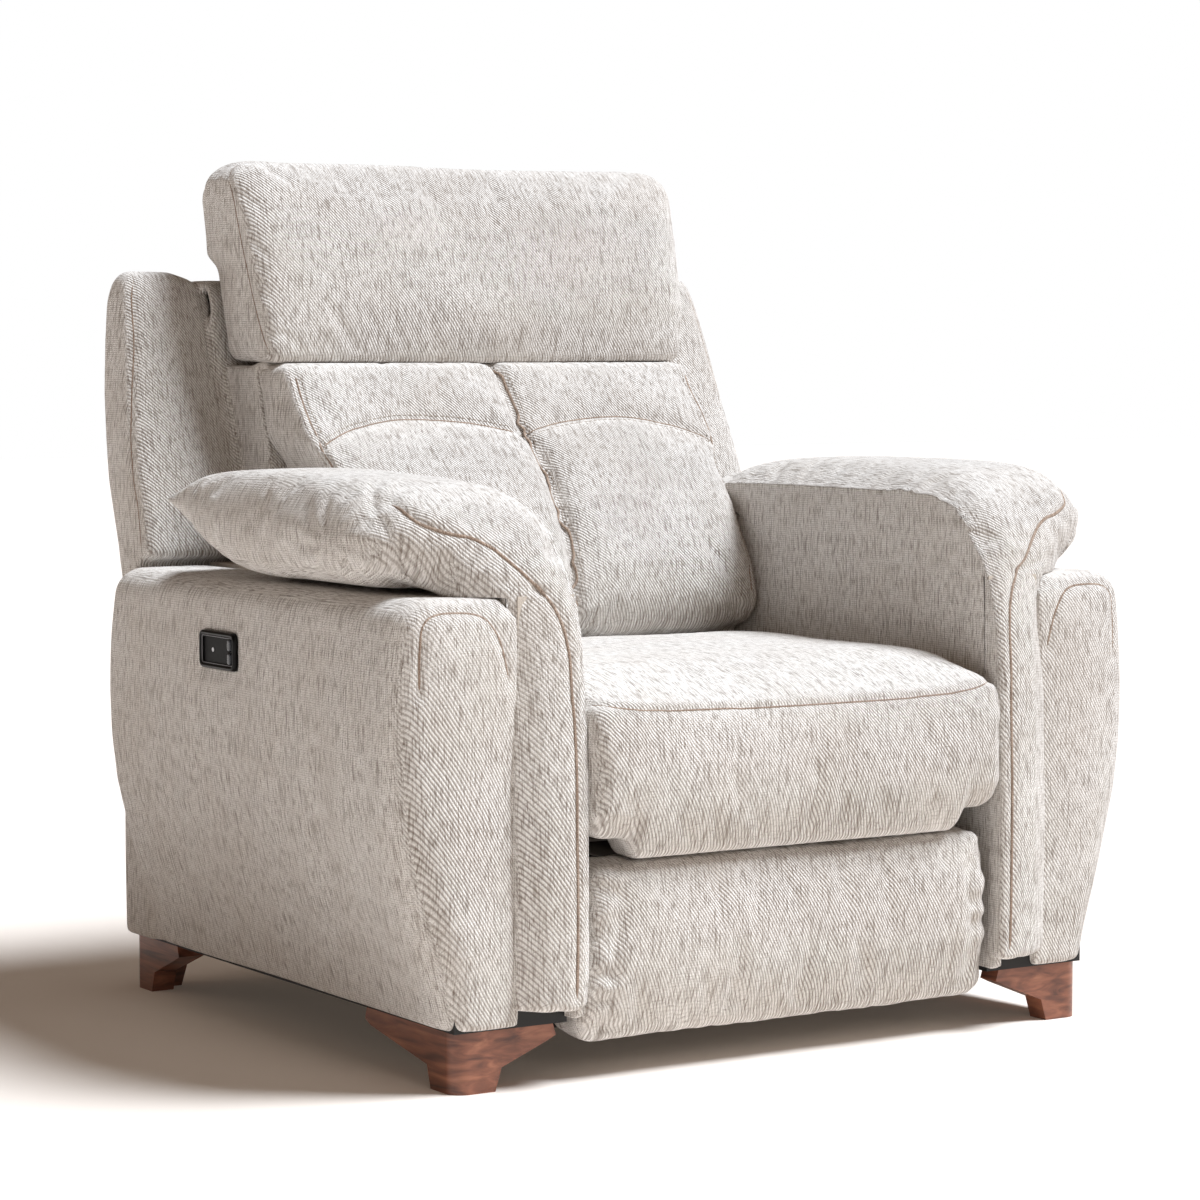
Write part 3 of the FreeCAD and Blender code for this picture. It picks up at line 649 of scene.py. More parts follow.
paint(("foot_front", "foot_rear"), WOOD)
paint(("plinth",), BLACK)
PLAIN = hard("cloth_plain", (190, 181, 170), 0.95, grain=700.0, amount=0.2, bumpd=0.0005)
paint(("arm_frame", "back_frame", "seat_deck"), PLAIN)
paint(("footrest_board",), PLY)
paint(("seat_channel", "seat_frame", "seat_tube", "shaft_hanger", "slot_hanger", "drive_link", "cross_link", "strut", "footrest_link", "back_bracket"), STEEL)
paint(("back_pivot", "actuator_rod", "drive_shaft", "head_hinge", "head_knuckle"), ZINC)
paint(("control_bezel",), GLOSS)
FASCIA = hard("fascia_plastic", (9, 9, 11), 0.45, bumpd=0.00002)
for m_ in (FASCIA, GLOSS):
    next(n_ for n_ in m_.node_tree.nodes if n_.type == "BSDF_PRINCIPLED").inputs["Specular IOR Level"].default_value = 0.12
paint(("control_fascia",), FASCIA)
paint(("control_box", "power_inlet", "footrest_motor", "recline_motor"), MATT)
paint(("button_",), BTN)
paint(("indicator_lens",), LENS)

VOX = 0.0065

def pin_near(ob, lines, width):
    d = dist_to(co_of(ob), lines)
    return np.clip(1.6 - d / width, 0, 1)

def seam_set(ob, name, body, lines_mm, r=0.0017, width=0.006, depth=0.0026, stitch=(), sink=0.0009, trim=None):
    """Grooves a sewn line into the cover, then lays the turned-in cloth ridge and its thread along it."""
    trim = trim or SEAM_SHADE_FAB
    tree = bvh_of(ob)
    laid = [lay_on(ob, curve_through(l), tree) for l in lines_mm]
    groove(ob, [p for p, _ in laid], width, depth)
    tree = bvh_of(ob)
    for i, l in enumerate(lines_mm):
        p, n = lay_on(ob, laid[i][0], tree)
        s = tube("%s_seam%d" % (name, i), p, n, r, sink=sink, flat=0.8)
        finish_soft(s, trim, body)
        for k, off in enumerate(stitch):
            q, m = lay_on(ob, p + np.cross(np.gradient(p, axis=0) / np.maximum(np.linalg.norm(np.gradient(p, axis=0), axis=1, keepdims=True), 1e-9), n) * off, tree)
            st = stitches("%s_thread%d_%d" % (name, i, k), q, m, 0.0)
            finish_soft(st, THREAD, body)


# ---------------------------------------------------------------- seat cushion
def seat():
    poly = [(-416, 247, 6), (-472, 245, 16), (-488, 296, 60), (-490, 380, 40), (-482, 424, 26), (-380, 443, 80), (0, 442, 60),
            (48, 430, 26), (52, 342, 4), (-416, 342, 4)]
    ob = remesh(prism_x("seat_cover", poly, -287, 287, 26, 26), VOX)
    smooth(ob, 1)
    def f(x, y, z):
        a = np.abs(x)
        # the underside lifts at each end, over the footrest's links
        z = z + np.where(z < 310, sstep((a - 219) / 19) * 25 * np.clip((310 - z) / 55, 0, 1), 0)
        top = np.clip((z - 400) / 45, 0, 1)
        z = z + top * 7 * (1 - (x / 285) ** 2) * np.clip(1 - ((y + 200) / 300) ** 2, 0, 1)
        return x, y, z
    warp(ob, f)
    front = [[(-284, -452, 426), (-274, -468, 424), (-250, -479, 418), (-180, -486, 413), (0, -489, 410), (180, -486, 411), (250, -479, 416), (274, -468, 422), (284, -452, 424)]]
    line = [curve_through(l) for l in front]
    line.append(curve_through([(-262, -470, 250), (0, -472, 246), (262, -470, 250)]))
    c = co_of(ob) * 1000
    pin = pin_near(ob, line, 0.009)
    hid = ((c[:, 2] < 345) & (c[:, 1] > -395)) | (c[:, 1] > 40) | ((np.abs(c[:, 0]) > 283)) | ((np.abs(c[:, 0]) > 226) & (c[:, 2] < 284))
    pin = np.maximum(pin, hid * 1.0)
    puff(ob, pin, 4.0, 0.010, slack=0.012)
    subdivide(ob)
    lumps(ob, 1.1, 60, 5, np.clip((co_of(ob)[:, 2] - 0.25) / 0.1, 0, 1))
    warp(ob, lambda x, y, z: (np.clip(x, -288, 288), y, z))
    seam_set(ob, "seat", "seat", front, r=0.0012, width=0.0055, depth=0.0030, sink=0.0004)
    return finish_soft(ob, FAB, "seat", ("seat_cushion",))

# ---------------------------------------------------------------- footrest pad
def footrest():
    poly = [(-372.6, 46, 6), (-446, 41, 18), (-466, 108, 80), (-470, 190, 50), (-462, 242, 14), (-404, 243, 10), (-372.6, 232, 6)]
    ob = remesh(prism_x("footrest_cover", poly, -282, 282, 18, 18), VOX)
    smooth(ob, 1)
    warp(ob, lambda x, y, z: (x * (1.0 - 0.03 * np.clip((z - 50) / 190, 0, 1)), y, z))
    lines = [[(s * 262, -440, 56), (s * 268, -455, 86), (s * 266, -462, 140), (s * 262, -460, 200), (s * 256, -444, 230)] for s in (-1, 1)]
    edge = [[(-266, -456, 241), (0, -459, 242), (266, -456, 241)], [(-270, -448, 44), (0, -450, 42), (270, -448, 44)]]
    pin = pin_near(ob, [curve_through(l) for l in lines + edge], 0.008)
    c = co_of(ob) * 1000
    pin = np.maximum(pin, (c[:, 1] - SHIFT > -395) * 1.0)
    puff(ob, pin, 3.5, 0.008, slack=0.02)
    subdivide(ob)
    def f(x, y, z):
        # cloth gathered at the two ends
        a = np.abs(x)
        e = sstep((a - 225) / 40)
        y = y + e * 2.1 * np.sin(z * 0.16 + 1.7 * np.sin(z * 0.05 + x * 0.02)) * np.clip((-400 - y) / 30, 0, 1)
        x = x + np.sign(x) * e * 1.0 * np.sin(z * 0.21 + 0.6)
        return x, y, z
    warp(ob, f)
    lumps(ob, 0.9, 50, 8)
    return finish_soft(ob, FAB, "footrest", ("footrest_pad",))

# ---------------------------------------------------------------- lumbar cushion
def lumbar_front(z):
    return np.interp(z, [460, 484, 540, 610, 674, 718, 764, 784], [22, 10, 26, 68, 118, 154, 194, 216])

def lumbar():
    poly = [(72, 346, 12), (68, 448, 16), (36, 456, 16), (12, 484, 26), (26, 540, 60), (68, 610, 120), (118, 674, 100), (154, 718, 60),
            (192, 762, 20), (208, 790, 9), (286, 790, 6), (271, 740), (196.5, 470), (190, 346, 6)]
    ob = remesh(prism_x("lumbar_cover", poly, -286, 286, 15, 15), VOX)
    smooth(ob, 1)
    def f(x, y, z):
        k = 1 + 0.075 * sstep((z - 655) / 50)
        x = x * k
        # the two halves and the wide bowl between them
        a = np.abs(x)
        front = np.clip((200 - y + (z - 560) * 0.45) / 120, 0, 1)
        y = y + front * np.clip((z - 470) / 60, 0, 1) * 4.0 * np.exp(-(a / 60) ** 2)
        return x, y, z
    warp(ob, f)
    cen = [(6, 232, 791), (7, 210, 786), (9, 185, 751), (11, 155, 709), (18, 132, 694), (20, 93, 648), (16, 53, 588), (10, 29, 535), (6, 14, 490), (4, 34, 462), (2, 64, 440)]
    arcs = []
    for s in (-1, 1):
        arcs.append([(s * x, lumbar_front(z) + 2, z) for x, z in ((11 if s > 0 else -7, 706), (72, 718), (165, 723), (238, 711), (272, 699), (289, 690))])
    gus = []
    for s in (-1, 1):
        gus.append([(s * x, y, z) for x, y, z in ((288, 222, 784), (292, 176, 732), (290, 130, 680), (283, 84, 616), (276, 40, 550), (272, 24, 500), (270, 40, 462))])
    rim = [(-300, 214, 789), (-150, 213, 790), (0, 213, 790), (150, 213, 790), (300, 214, 789)]
    lines = [curve_through(l) for l in [cen, rim] + arcs + gus]
    pin = pin_near(ob, lines, 0.0085)
    c = co_of(ob) * 1000
    y = c[:, 1] - SHIFT
    rear = (y > np.interp(c[:, 2], [346, 470, 740, 784], [184, 190, 264, 279])) | (c[:, 2] < 440)
    pin = np.maximum(pin, rear * 1.0)
    puff(ob, pin, 4.0, 0.012, slack=0.012)
    subdivide(ob)
    lumps(ob, 1.0, 60, 11)
    def g(x, y, z):
        lim = np.where((z < 662) & (y < 162), 289.0, 322.0)
        return np.clip(x, -lim, lim), y, np.minimum(z, 792)
    warp(ob, g)
    seam_set(ob, "lumbar_mid", "backrest", [cen], r=0.0020, width=0.009, depth=0.010, sink=0.0006, stitch=(-0.009,))
    seam_set(ob, "lumbar_arc", "backrest", arcs, r=0.0012, width=0.007, depth=0.0036, sink=0.0004, stitch=(0.007,))
    seam_set(ob, "lumbar_edge", "backrest", gus, width=0.006, depth=0.0022, stitch=(-0.0065, 0.0065))
    return finish_soft(ob, FAB, "backrest", ("lumbar_cushion",))

# ---------------------------------------------------------------- head cushion
def head():
    poly = [(238, 791, 9), (231, 800, 10), (238, 860, 80), (264, 950, 90), (288, 1024, 40), (303, 1047, 16), (372, 1047, 22), (399, 1008, 30),
            (394, 925, 12), (366, 906, 6), (352, 794, 6)]
    ob = remesh(prism_x("head_cover", poly, -321, 321, 17, 17), VOX)
    smooth(ob, 1)
    def f(x, y, z):
        k = np.interp(z, [797, 1045], [0.975, 1.035])
        a = np.abs(x) / 318
        z = z - np.clip((z - 990) / 55, 0, 1) * 15 * np.clip((a - 0.86) / 0.14, 0, 1) ** 2
        return x * k, y, z
    warp(ob, f)
    rim = []
    for s in (-1, 1):
        rim.append([(s * x, y, z) for x, y, z in ((304, 236, 797), (316, 250, 828), (324, 270, 880), (330, 288, 950), (331, 300, 1005), (324, 316, 1034), (308, 326, 1045), (285, 330, 1050))])
    rim.append([(-285, 330, 1050), (-150, 330, 1052), (0, 330, 1052), (150, 330, 1052), (285, 330, 1050)])
    low = [(-300, 234, 797), (-150, 233, 796), (0, 233, 796), (150, 233, 796), (300, 234, 797)]
    rear = [[(s * x, y, z) for x, y, z in ((300, 366, 904), (316, 380, 950), (318, 384, 1000), (300, 372, 1040))] for s in (-1, 1)]
    pin = pin_near(ob, [curve_through(l) for l in rim + [low] + rear], 0.0085)
    c = co_of(ob) * 1000
    y = c[:, 1] - SHIFT
    pin = np.maximum(pin, ((y > 345) & (c[:, 2] < 912)) * 1.0)
    pin = np.maximum(pin, np.clip((800 - c[:, 2]) / 5, 0, 1))
    puff(ob, pin, 4.5, 0.013, slack=0.012)
    subdivide(ob)
    lumps(ob, 1.3, 70, 21)
    warp(ob, lambda x, y, z: (x, y, np.clip(z, 791.5, 1058)))
    seam_set(ob, "head_rim", "head", rim, width=0.006, depth=0.0022, stitch=())
    return finish_soft(ob, FAB, "head", ("head_cushion",))

# ---------------------------------------------------------------- arm pads
PATH = np.array([(134, 633), (126, 639), (105, 647), (70, 654), (20, 658), (-30, 660), (-120, 660), (-250, 659), (-330, 654), (-366, 645), (-398, 628),
                 (-425, 602), (-446, 566), (-459, 524), (-468, 476), (-474, 420), (-478, 340), (-480, 240), (-479, 150), (-476, 85)], float)
PT = [6, 20, 38, 62, 88, 106, 112, 112, 108, 104, 98, 88, 74, 56, 42, 36, 34, 34, 34, 32]
PXO = [498, 510, 515, 517, 517, 517, 517, 516, 512, 506, 492, 466, 428, 388, 370, 366, 366, 366, 366, 366]
PXS = [455, 470, 478, 484, 486, 486, 486, 484, 476, 462, 440, 388, 350, 316, 308, 306, 304, 304, 304, 304]
PD = [4, 12, 22, 32, 38, 40, 40, 40, 42, 50, 58, 56, 46, 36, 29, 25, 24, 23, 23, 22]
PR = [12, 20, 26, 26, 26, 26, 26, 26, 20, 12, 9, 8, 7, 6, 5, 5, 5, 5, 5, 5]

def arm_pad(side):
    nm = "left" if side < 0 else "right"
    m = 46
    s = np.linspace(0, 1, m)
    acc = np.concatenate([[0], np.cumsum(np.linalg.norm(np.diff(PATH, axis=0), axis=1))])
    acc /= acc[-1]
    py_, pz_ = np.interp(s, acc, PATH[:, 0]), np.interp(s, acc, PATH[:, 1])
    T, XO, XS, DD, RS = (np.interp(s, acc, a) for a in (PT, PXO, PXS, PD, PR))
    ty, tz = np.gradient(py_), np.gradient(pz_)
    l = np.hypot(ty, tz)
    ty, tz = ty / l, tz / l
    # inward normal of the path (down on the top, back on the front)
    ny, nz = -tz, ty
    rings = []
    for i in range(m):
        q = float(sstep((600 - pz_[i]) / 90.0))
        over = [(290, T[i], 3), (289.5, min(22, T[i] * 0.5), min(20, T[i] * 0.4)), (318, 0, 24), (XS[i], 0, RS[i]), (0.45 * XS[i] + 0.55 * XO[i], DD[i] * 0.36, 24),
                (XO[i], DD[i], min(18, T[i] * 0.3)), (XO[i] - 4, max(T[i] - 14, DD[i] + 2), 10), (XO[i] - 24 - 0.2 * (XO[i] - 363), max(T[i], DD[i] + 4), 8)]
        strip = [(289, T[i], 2), (288.5, 7, 7), (297, 0, 5), (XS[i] + 1, 0, RS[i]), (0.45 * XS[i] + 0.55 * (XO[i] + 5), DD[i] * 0.30, 20), (XO[i] + 5, DD[i], 9),
                 (XO[i] + 8, max(T[i] * 0.75, DD[i] + 4), 5), (XO[i] + 8, T[i] + 4, 3)]
        sec = [tuple((1 - q) * np.array(o_) + q * np.array(s_)) for o_, s_ in zip(over, strip)]
        p = resample(rounded(sec, 5), 110)
        yy = py_[i] + ny[i] * p[:, 1]
        yy = yy + 24 * (1 - (p[:, 0] - 290) / 226) * np.clip(yy / 110, 0, 1)
        ring = np.column_stack([p[:, 0] * side, yy, pz_[i] + nz[i] * p[:, 1]])
        rings.append(ring)
    rings = np.array(rings)
    ob = remesh(loft("arm_pad_cover_" + nm, rings), VOX)
    smooth(ob, 2)
    seam_in = [(side * x, y, z) for x, y, z in ((468, -352, 645), (464, -372, 636), (453, -392, 622), (431, -405, 613), (392, -418, 603), (365, -434, 581), (339, -448, 553), (320, -458, 530),
                                                 (309, -467, 490), (306, -474, 430), (304, -478, 340), (304, -480, 240), (304, -479, 150), (304, -476, 98))]
    fold = [(side * x, y, z) for x, y, z in ((425, -425, 574), (405, -434, 566), (380, -444, 558), (352, -450, 552), (334, -452, 548))]
    tip = [(side * x, y, z) for x, y, z in ((330, 150, 634), (400, 146, 633), (470, 138, 631), (500, 130, 628), (510, 108, 616), (514, 72, 592), (508, 30, 564), (496, 2, 552))]
    pin = pin_near(ob, [curve_through(l) for l in (seam_in, tip)], 0.0085)
    c = co_of(ob) * 1000
    y = c[:, 1] - SHIFT
    hid = ((np.abs(c[:, 0]) < 294)) | ((c[:, 2] < 549) & (y > -430)) | ((y > -462) & (c[:, 2] < 530))
    pin = np.maximum(pin, hid * 1.0)
    pin = np.maximum(pin, np.clip((560 - c[:, 2]) / 60, 0, 1) * 0.6)
    puff(ob, pin, 4.2, 0.011, slack=0.02)
    subdivide(ob)
    c = co_of(ob) * 1000
    def f(x, y, z):
        # gathers that run out of the sewn corner at the front of the overhang
        a = np.abs(x)
        dy, dz = y + 300, z - 600
        r = np.hypot(dy, dz * 1.1)
        ang = np.arctan2(dz, dy)
        w = np.exp(-((r - 70) / 60) ** 2) * sstep((a - 430) / 40)
        x = x + np.sign(x) * w * 1.5 * np.sin(ang * 11 + 0.8 * np.sin(r * 0.06))
        # the sewn corner at the rear of the overhang runs out to a point
        w3 = np.exp(-(((a - 500) / 26) ** 2 + ((y - 126) / 26) ** 2 + ((z - 628) / 20) ** 2))
        x = x + np.sign(x) * w3 * 6
        y = y + w3 * 9
        # the cloth is drawn in where that seam ends
        w4 = np.exp(-(((a - 474) / 14) ** 2 + ((y + 350) / 14) ** 2 + ((z - 642) / 20) ** 2))
        z = z - w4 * 7
        # a soft nip where the strip leaves the overhang
        w2 = np.exp(-((z - 566) / 26) ** 2) * np.exp(-((a - 440) / 42) ** 2) * (y < -380)
        y = y + w2 * 5
        return x, y, z
    warp(ob, f)
    lumps(ob, 1.0, 55, 31 + side)
    inward = -nor_of(ob)[:, 0] * side
    def g(x, y, z):
        a = np.clip(np.abs(x), 288.5, 524)
        a = np.where((a < 299) & (inward > 0.75), 288.5, a)
        z = np.where((y > -440), np.maximum(z, 541.0), z)
        return np.sign(x) * a, y, z
    warp(ob, g)
    groove(ob, [curve_through(fold)], 0.005, 0.005)
    c, n = co_of(ob), nor_of(ob)
    # the cloth swells above the fold and beside the seam
    up = [curve_through([(x, y - 4, z + 15) for x, y, z in fold])]
    d = dist_to(c, up)
    set_co(ob, c + n * (0.0035 * np.exp(-(d / 0.011) ** 2))[:, None])
    seam_set(ob, "arm_pad_" + nm, "base", [seam_in], r=0.0022, width=0.006, depth=0.0030, sink=0.0004)
    return finish_soft(ob, FAB, "base", ("arm_pad_" + nm,))

# ---------------------------------------------------------------- arm side panels
def arm_side(side):
    nm = "left" if side < 0 else "right"
    zz = np.concatenate([70 + 4 * (1 - np.cos(np.linspace(0, math.pi / 2, 4))), np.linspace(86, 500, 16), 541 - 30 * (1 - np.sin(np.linspace(0, math.pi / 2, 8)))])
    rings = []
    for z in zz:
        xo = float(np.interp(z, [70, 90, 140, 200, 280, 340, 400, 460, 520, 541], [448, 453, 466, 484, 504, 512, 514, 511, 504, 500]))
        d = 0.0
        if z > 511:
            d = 30 * (1 - math.cos(math.asin(min(1, (z - 511) / 30))))
        if z < 74:
            d = 4 - math.sqrt(max(0, 16 - (74 - z) ** 2))
        sec = [(362, -449), (xo, -450, 46), (xo, 300, 34), (362, 300)]
        p = resample(rounded(sec, 8), 150)
        q = offset2(p, d)
        q[:, 0] = np.maximum(q[:, 0], 362)
        rings.append(np.column_stack([q[:, 0] * side, q[:, 1], np.full(len(q), z)]))
    ob = remesh(loft("arm_side_cover_" + nm, np.array(rings)), VOX)
    smooth(ob, 2)
    subdivide(ob)
    def f(x, y, z):
        # front face slightly crowned, side face slack with faint upright waves
        a = np.abs(x)
        fr = np.clip((-430 - y) / 14, 0, 1)
        y = y - fr * 5 * np.clip(1 - ((a - 415) / 60) ** 2, 0, 1) * np.clip((z - 95) / 60, 0, 1) * np.clip((545 - z) / 60, 0, 1)
        sd = np.clip((a - 440) / 20, 0, 1) * np.clip((z - 95) / 70, 0, 1) * np.clip((535 - z) / 80, 0, 1)
        x = x + np.sign(x) * sd * (1.4 * np.sin(y * 0.030 + 0.9 * np.sin(z * 0.012)) + 0.8 * np.sin(y * 0.067 + z * 0.01))
        return x, y, z
    warp(ob, f)
    lumps(ob, 0.9, 70, 41 + side)
    if side < 0:
        # the panel is drawn in around the control
        lo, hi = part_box("control_bezel")
        c, n = co_of(ob), nor_of(ob)
        cy, cz = (lo.y + hi.y) / 2, (lo.z + hi.z) / 2
        hy, hz = (hi.y - lo.y) / 2, (hi.z - lo.z) / 2
        dy, dz = np.maximum(np.abs(c[:, 1] - cy) - hy, 0), np.maximum(np.abs(c[:, 2] - cz) - hz, 0)
        r = np.hypot(dy, dz)
        near = (c[:, 0] < -0.44)
        tgt = -0.5085
        w = np.exp(-(r / 0.012) ** 2) * near
        c[:, 0] = np.where(c[:, 0] < tgt, c[:, 0] + (tgt - c[:, 0]) * w, c[:, 0] + (tgt - c[:, 0]) * w * 0.9)
        set_co(ob, c)
        inside = (np.abs(c[:, 1] - cy) < hy - 0.004) & (np.abs(c[:, 2] - cz) < hz - 0.004) & near
        c[:, 0] = np.where(inside, -0.472, c[:, 0])
        set_co(ob, c)
    top = [(side * x, y, z) for x, y, z in ((485, -446, 440), (485, -446, 470), (484, -446, 493), (482, -444, 511), (474, -443, 522), (455, -444, 528), (428, -445, 528), (408, -447, 523),
                                             (394, -450, 508), (383, -451, 484), (375, -450, 450))]
    seam_set(ob, "arm_side_" + nm, "base", [top], r=0.0019, width=0.006, depth=0.0024)
    return finish_soft(ob, FAB2, "base", ("arm_panel_" + nm,))

def arm_lining(side):
    nm = "left" if side < 0 else "right"
    poly = [(-464, 74, 4), (326, 92, 10), (326, 541, 4), (152, 541, 4), (150, 604, 10), (130, 619, 10), (96, 617, 8), (76, 592, 8), (-380, 592, 10), (-404, 584, 10), (-426, 560, 20), (-444, 522, 20), (-453, 476, 20), (-459, 420, 20),
            (-463, 340, 20), (-465, 240, 20)]
    x0, x1 = (289.3, 299) if side > 0 else (-299, -289.3)
    a = prism_x("a", poly, x0, x1, 1.5, 1.5, 220)
    b = prism_x("b", [(-441, 478, 4), (-436, 546, 8), (-424, 572, 8), (-372, 572, 8), (-372, 478, 4)], *((298, 373.6) if side > 0 else (-373.6, -298)), 2, 2)
    ob = join("arm_lining_" + nm, [a, b])
    return finish_soft(ob, FAB, "base")

# ---------------------------------------------------------------- back shell with its wings
def wing_poly():
    return [(307, 426, 8), (307, 545, 10), (272, 550, 10), (286, 600, 60), (303, 649, 60), (340, 752, 80), (362, 815, 60), (382, 872, 40), (398, 910, 26),
            (440, 908, 40), (450, 872, 40), (441, 815, 60), (430, 752, 60), (412, 697, 60), (399, 649, 60), (373, 560, 60), (360, 500, 40), (357, 426, 8)]

def back_shell():
    parts = []
    for side in (-1, 1):
        a, b = (330, 458)
        if side > 0:
            o = prism_x("w", wing_poly(), a, b, 2, 20)
        else:
            o = prism_x("w", wing_poly(), -b, -a, 20, 2)
        parts.append(o)
    inner = [(338, 426), (342, 500), (355, 560), (381, 649), (394, 697), (412, 752), (423, 815), (432, 870), (430, 896)]
    outer = [(357, 426), (360, 500), (373, 560), (399, 649), (412, 697), (430, 752), (441, 815), (450, 872), (446, 898)]
    poly = [(a, b, 6) for a, b in inner] + [(a, b, 6) for a, b in outer[::-1]]
    parts.append(prism_x("p", poly, -345, 345, 1, 1))
    ob = remesh(join("back_cover", parts), VOX)
    smooth(ob, 4)
    def f(x, y, z):
        a = np.abs(x)
        lim = np.interp(z, [426, 550, 649, 697, 752, 815, 870, 905], [460, 462, 460, 457, 451, 444, 438, 432])
        k = np.clip((a - 330) / 128, 0, 1)
        a2 = np.where(a > 330, 330 + k * (lim - 330), a)
        # crowned front of each wing, soft fall of the top towards the middle
        fr = np.clip((np.interp(z, [550, 649, 752, 870], [272, 303, 340, 383]) + 26 - y) / 20, 0, 1) * np.clip((z - 560) / 60, 0, 1) * np.clip((915 - z) / 60, 0, 1)
        y = y - fr * 7 * np.clip(1 - ((a - 400) / 52) ** 2, 0, 1)
        z = z - np.clip((z - 860) / 50, 0, 1) * 12 * np.clip((372 - a) / 50, 0, 1)
        # fuller outer side
        sd = np.clip((a - 430) / 20, 0, 1) * np.clip((z - 560) / 80, 0, 1) * np.clip((900 - z) / 80, 0, 1)
        a2 = a2 + sd * 2.5
        return np.sign(x) * a2, y, z
    warp(ob, f)
    subdivide(ob)
    lumps(ob, 0.9, 70, 51)
    seams = []
    for s in (-1, 1):
        seams.append([(s * x, y, z) for x, y, z in ((456, 296, 552), (457, 304, 604), (456, 320, 652), (450, 336, 700), (444, 350, 754), (434, 366, 816), (427, 386, 870), (416, 400, 900), (400, 408, 911))])
        seams.append([(s * x, y, z) for x, y, z in ((452, 362, 440), (454, 366, 500), (454, 378, 562), (451, 400, 640), (446, 416, 700), (440, 432, 756), (433, 442, 818), (426, 446, 872), (414, 438, 902))])
    warp(ob, lambda x, y, z: (x, np.minimum(y, 454), z))
    seam_set(ob, "back", "backrest", seams, r=0.0016, width=0.006, depth=0.002, stitch=())
    rear = [[(s * 300, y, z) for y, z in ((358, 432), (364, 500), (377, 560), (403, 649), (434, 752), (445, 815), (452, 872), (448, 894))] for s in (-1, 1)]
    seam_set(ob, "back_rear", "backrest", rear, r=0.0016, width=0.006, depth=0.002, stitch=())
    return finish_soft(ob, FAB, "backrest", ("wing_left", "wing_right", "back_panel"))

def back_lining():
    # cloth between the back cushions and the wings, and over the rails behind the head cushion
    parts = []
    for s in (-1, 1):
        a = [(238, 566, 8), (236, 664, 10), (264, 740, 10), (277, 789, 6), (356, 789, 6), (330, 700), (300, 600), (290, 566, 6)]
        b = [(282, 566, 8), (309, 649, 20), (325, 697, 20), (347, 752, 20), (358, 789, 6), (384, 789), (352, 700), (312, 566, 6)]
        parts.append(prism_x("a", a, *((279, 309) if s > 0 else (-309, -279)), 3, 5))
        parts.append(prism_x("b", b, *((296, 347) if s > 0 else (-347, -296)), 3, 3))
        b2 = [(353, 772, 4), (369, 815, 20), (388, 868, 14), (402, 893, 8), (424, 893, 8), (404, 815), (384, 772, 6)]
        parts.append(prism_x("e", b2, *((314, 352) if s > 0 else (-352, -314)), 3, 3))
    roll = [(256, 783, 3), (256, 789, 4), (266, 795, 6), (284, 795, 6), (294, 789, 6), (360, 789, 4), (364, 783, 3)]
    parts.append(prism_x("c", roll, -303, 303, 4, 4))
    rear = [(352, 783, 3), (356, 789, 4), (368, 862, 20), (373, 884, 10), (386, 897, 10), (448, 897, 4), (448, 889, 3), (388, 888, 6), (380, 878, 6), (374, 862, 10), (364, 783, 3)]
    parts.append(prism_x("d", rear, -327, 327, 3, 3))
    ob = remesh(join("back_lining", parts), VOX * 0.8)
    smooth(ob, 2)
    return finish_soft(ob, FAB, "backrest")

def skirt():
    # U-shaped padded skirt around the rear of the base
    rings = []
    zz = np.concatenate([70 + 5 * (1 - np.cos(np.linspace(0, math.pi / 2, 3))), np.linspace(84, 380, 10)]) - 1.5
    plan = [(-446, 268, 3), (-453.5, 308, 20), (-453.5, 376.5, 18), (453.5, 376.5, 18), (453.5, 308, 20), (446, 268, 3), (432, 268, 2), (436, 353, 8), (-436, 353, 8), (-432, 268, 2)]
    base = resample(rounded(plan, 6), 400)
    for z in zz:
        rings.append(np.column_stack([base[:, 0], base[:, 1], np.full(len(base), z)]))
    ob = remesh(loft("skirt_cover", np.array(rings)), 0.006)
    def f(x, y, z):
        lim = np.interp(y, [301, 330, 355, 372], [400, 394, 384, 366])
        z = 70 + (z - 70) * (lim - 70) / 310
        return x, y, z
    warp(ob, f)
    smooth(ob, 3)
    subdivide(ob)
    lumps(ob, 0.8, 80, 61)
    lo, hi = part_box("power_inlet")
    c = co_of(ob)
    inside = (c[:, 0] > lo.x + 0.003) & (c[:, 0] < hi.x - 0.003) & (c[:, 2] > lo.z + 0.003) & (c[:, 2] < hi.z - 0.003)
    c[:, 1] = np.where(inside & (c[:, 1] > 0.37), 0.3725, c[:, 1])
    set_co(ob, c)
    return finish_soft(ob, FAB2, "base", ("rear_skirt",))


def crossing():
    # two strips of plain cloth sewn between the base and the backrest: behind the seat, and above the skirt
    def strip(name, poly, half, z0, z1, y, slices):
        base = rounded(poly, 4)
        rings = [np.column_stack([np.full(len(base), x), base[:, 0], base[:, 1]]) for x in np.linspace(-half, half, slices)]
        ob = loft(name, np.array(rings))
        ob.data.materials.append(PLAIN)
        ob.data.polygons.foreach_set("use_smooth", [len(q.vertices) == 4 for q in ob.data.polygons])
        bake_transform(ob)
    k = 12
    zz = np.linspace(339.6, 364, k)
    yy = 62 + 8.5 * sstep((zz - 339.6) / 24.4)
    strip("seat_apron", [(y, z) for y, z in zip(yy, zz)] + [(y + 2.2, z) for y, z in zip(yy[::-1], zz[::-1])], 285, 341, 362, 66, 25)
    zz = np.linspace(366, 434, 16)
    strip("rear_gusset", [(343.5, z) for z in zz] + [(346.5, z) for z in zz[::-1]], 432, 372, 428, 345, 25)

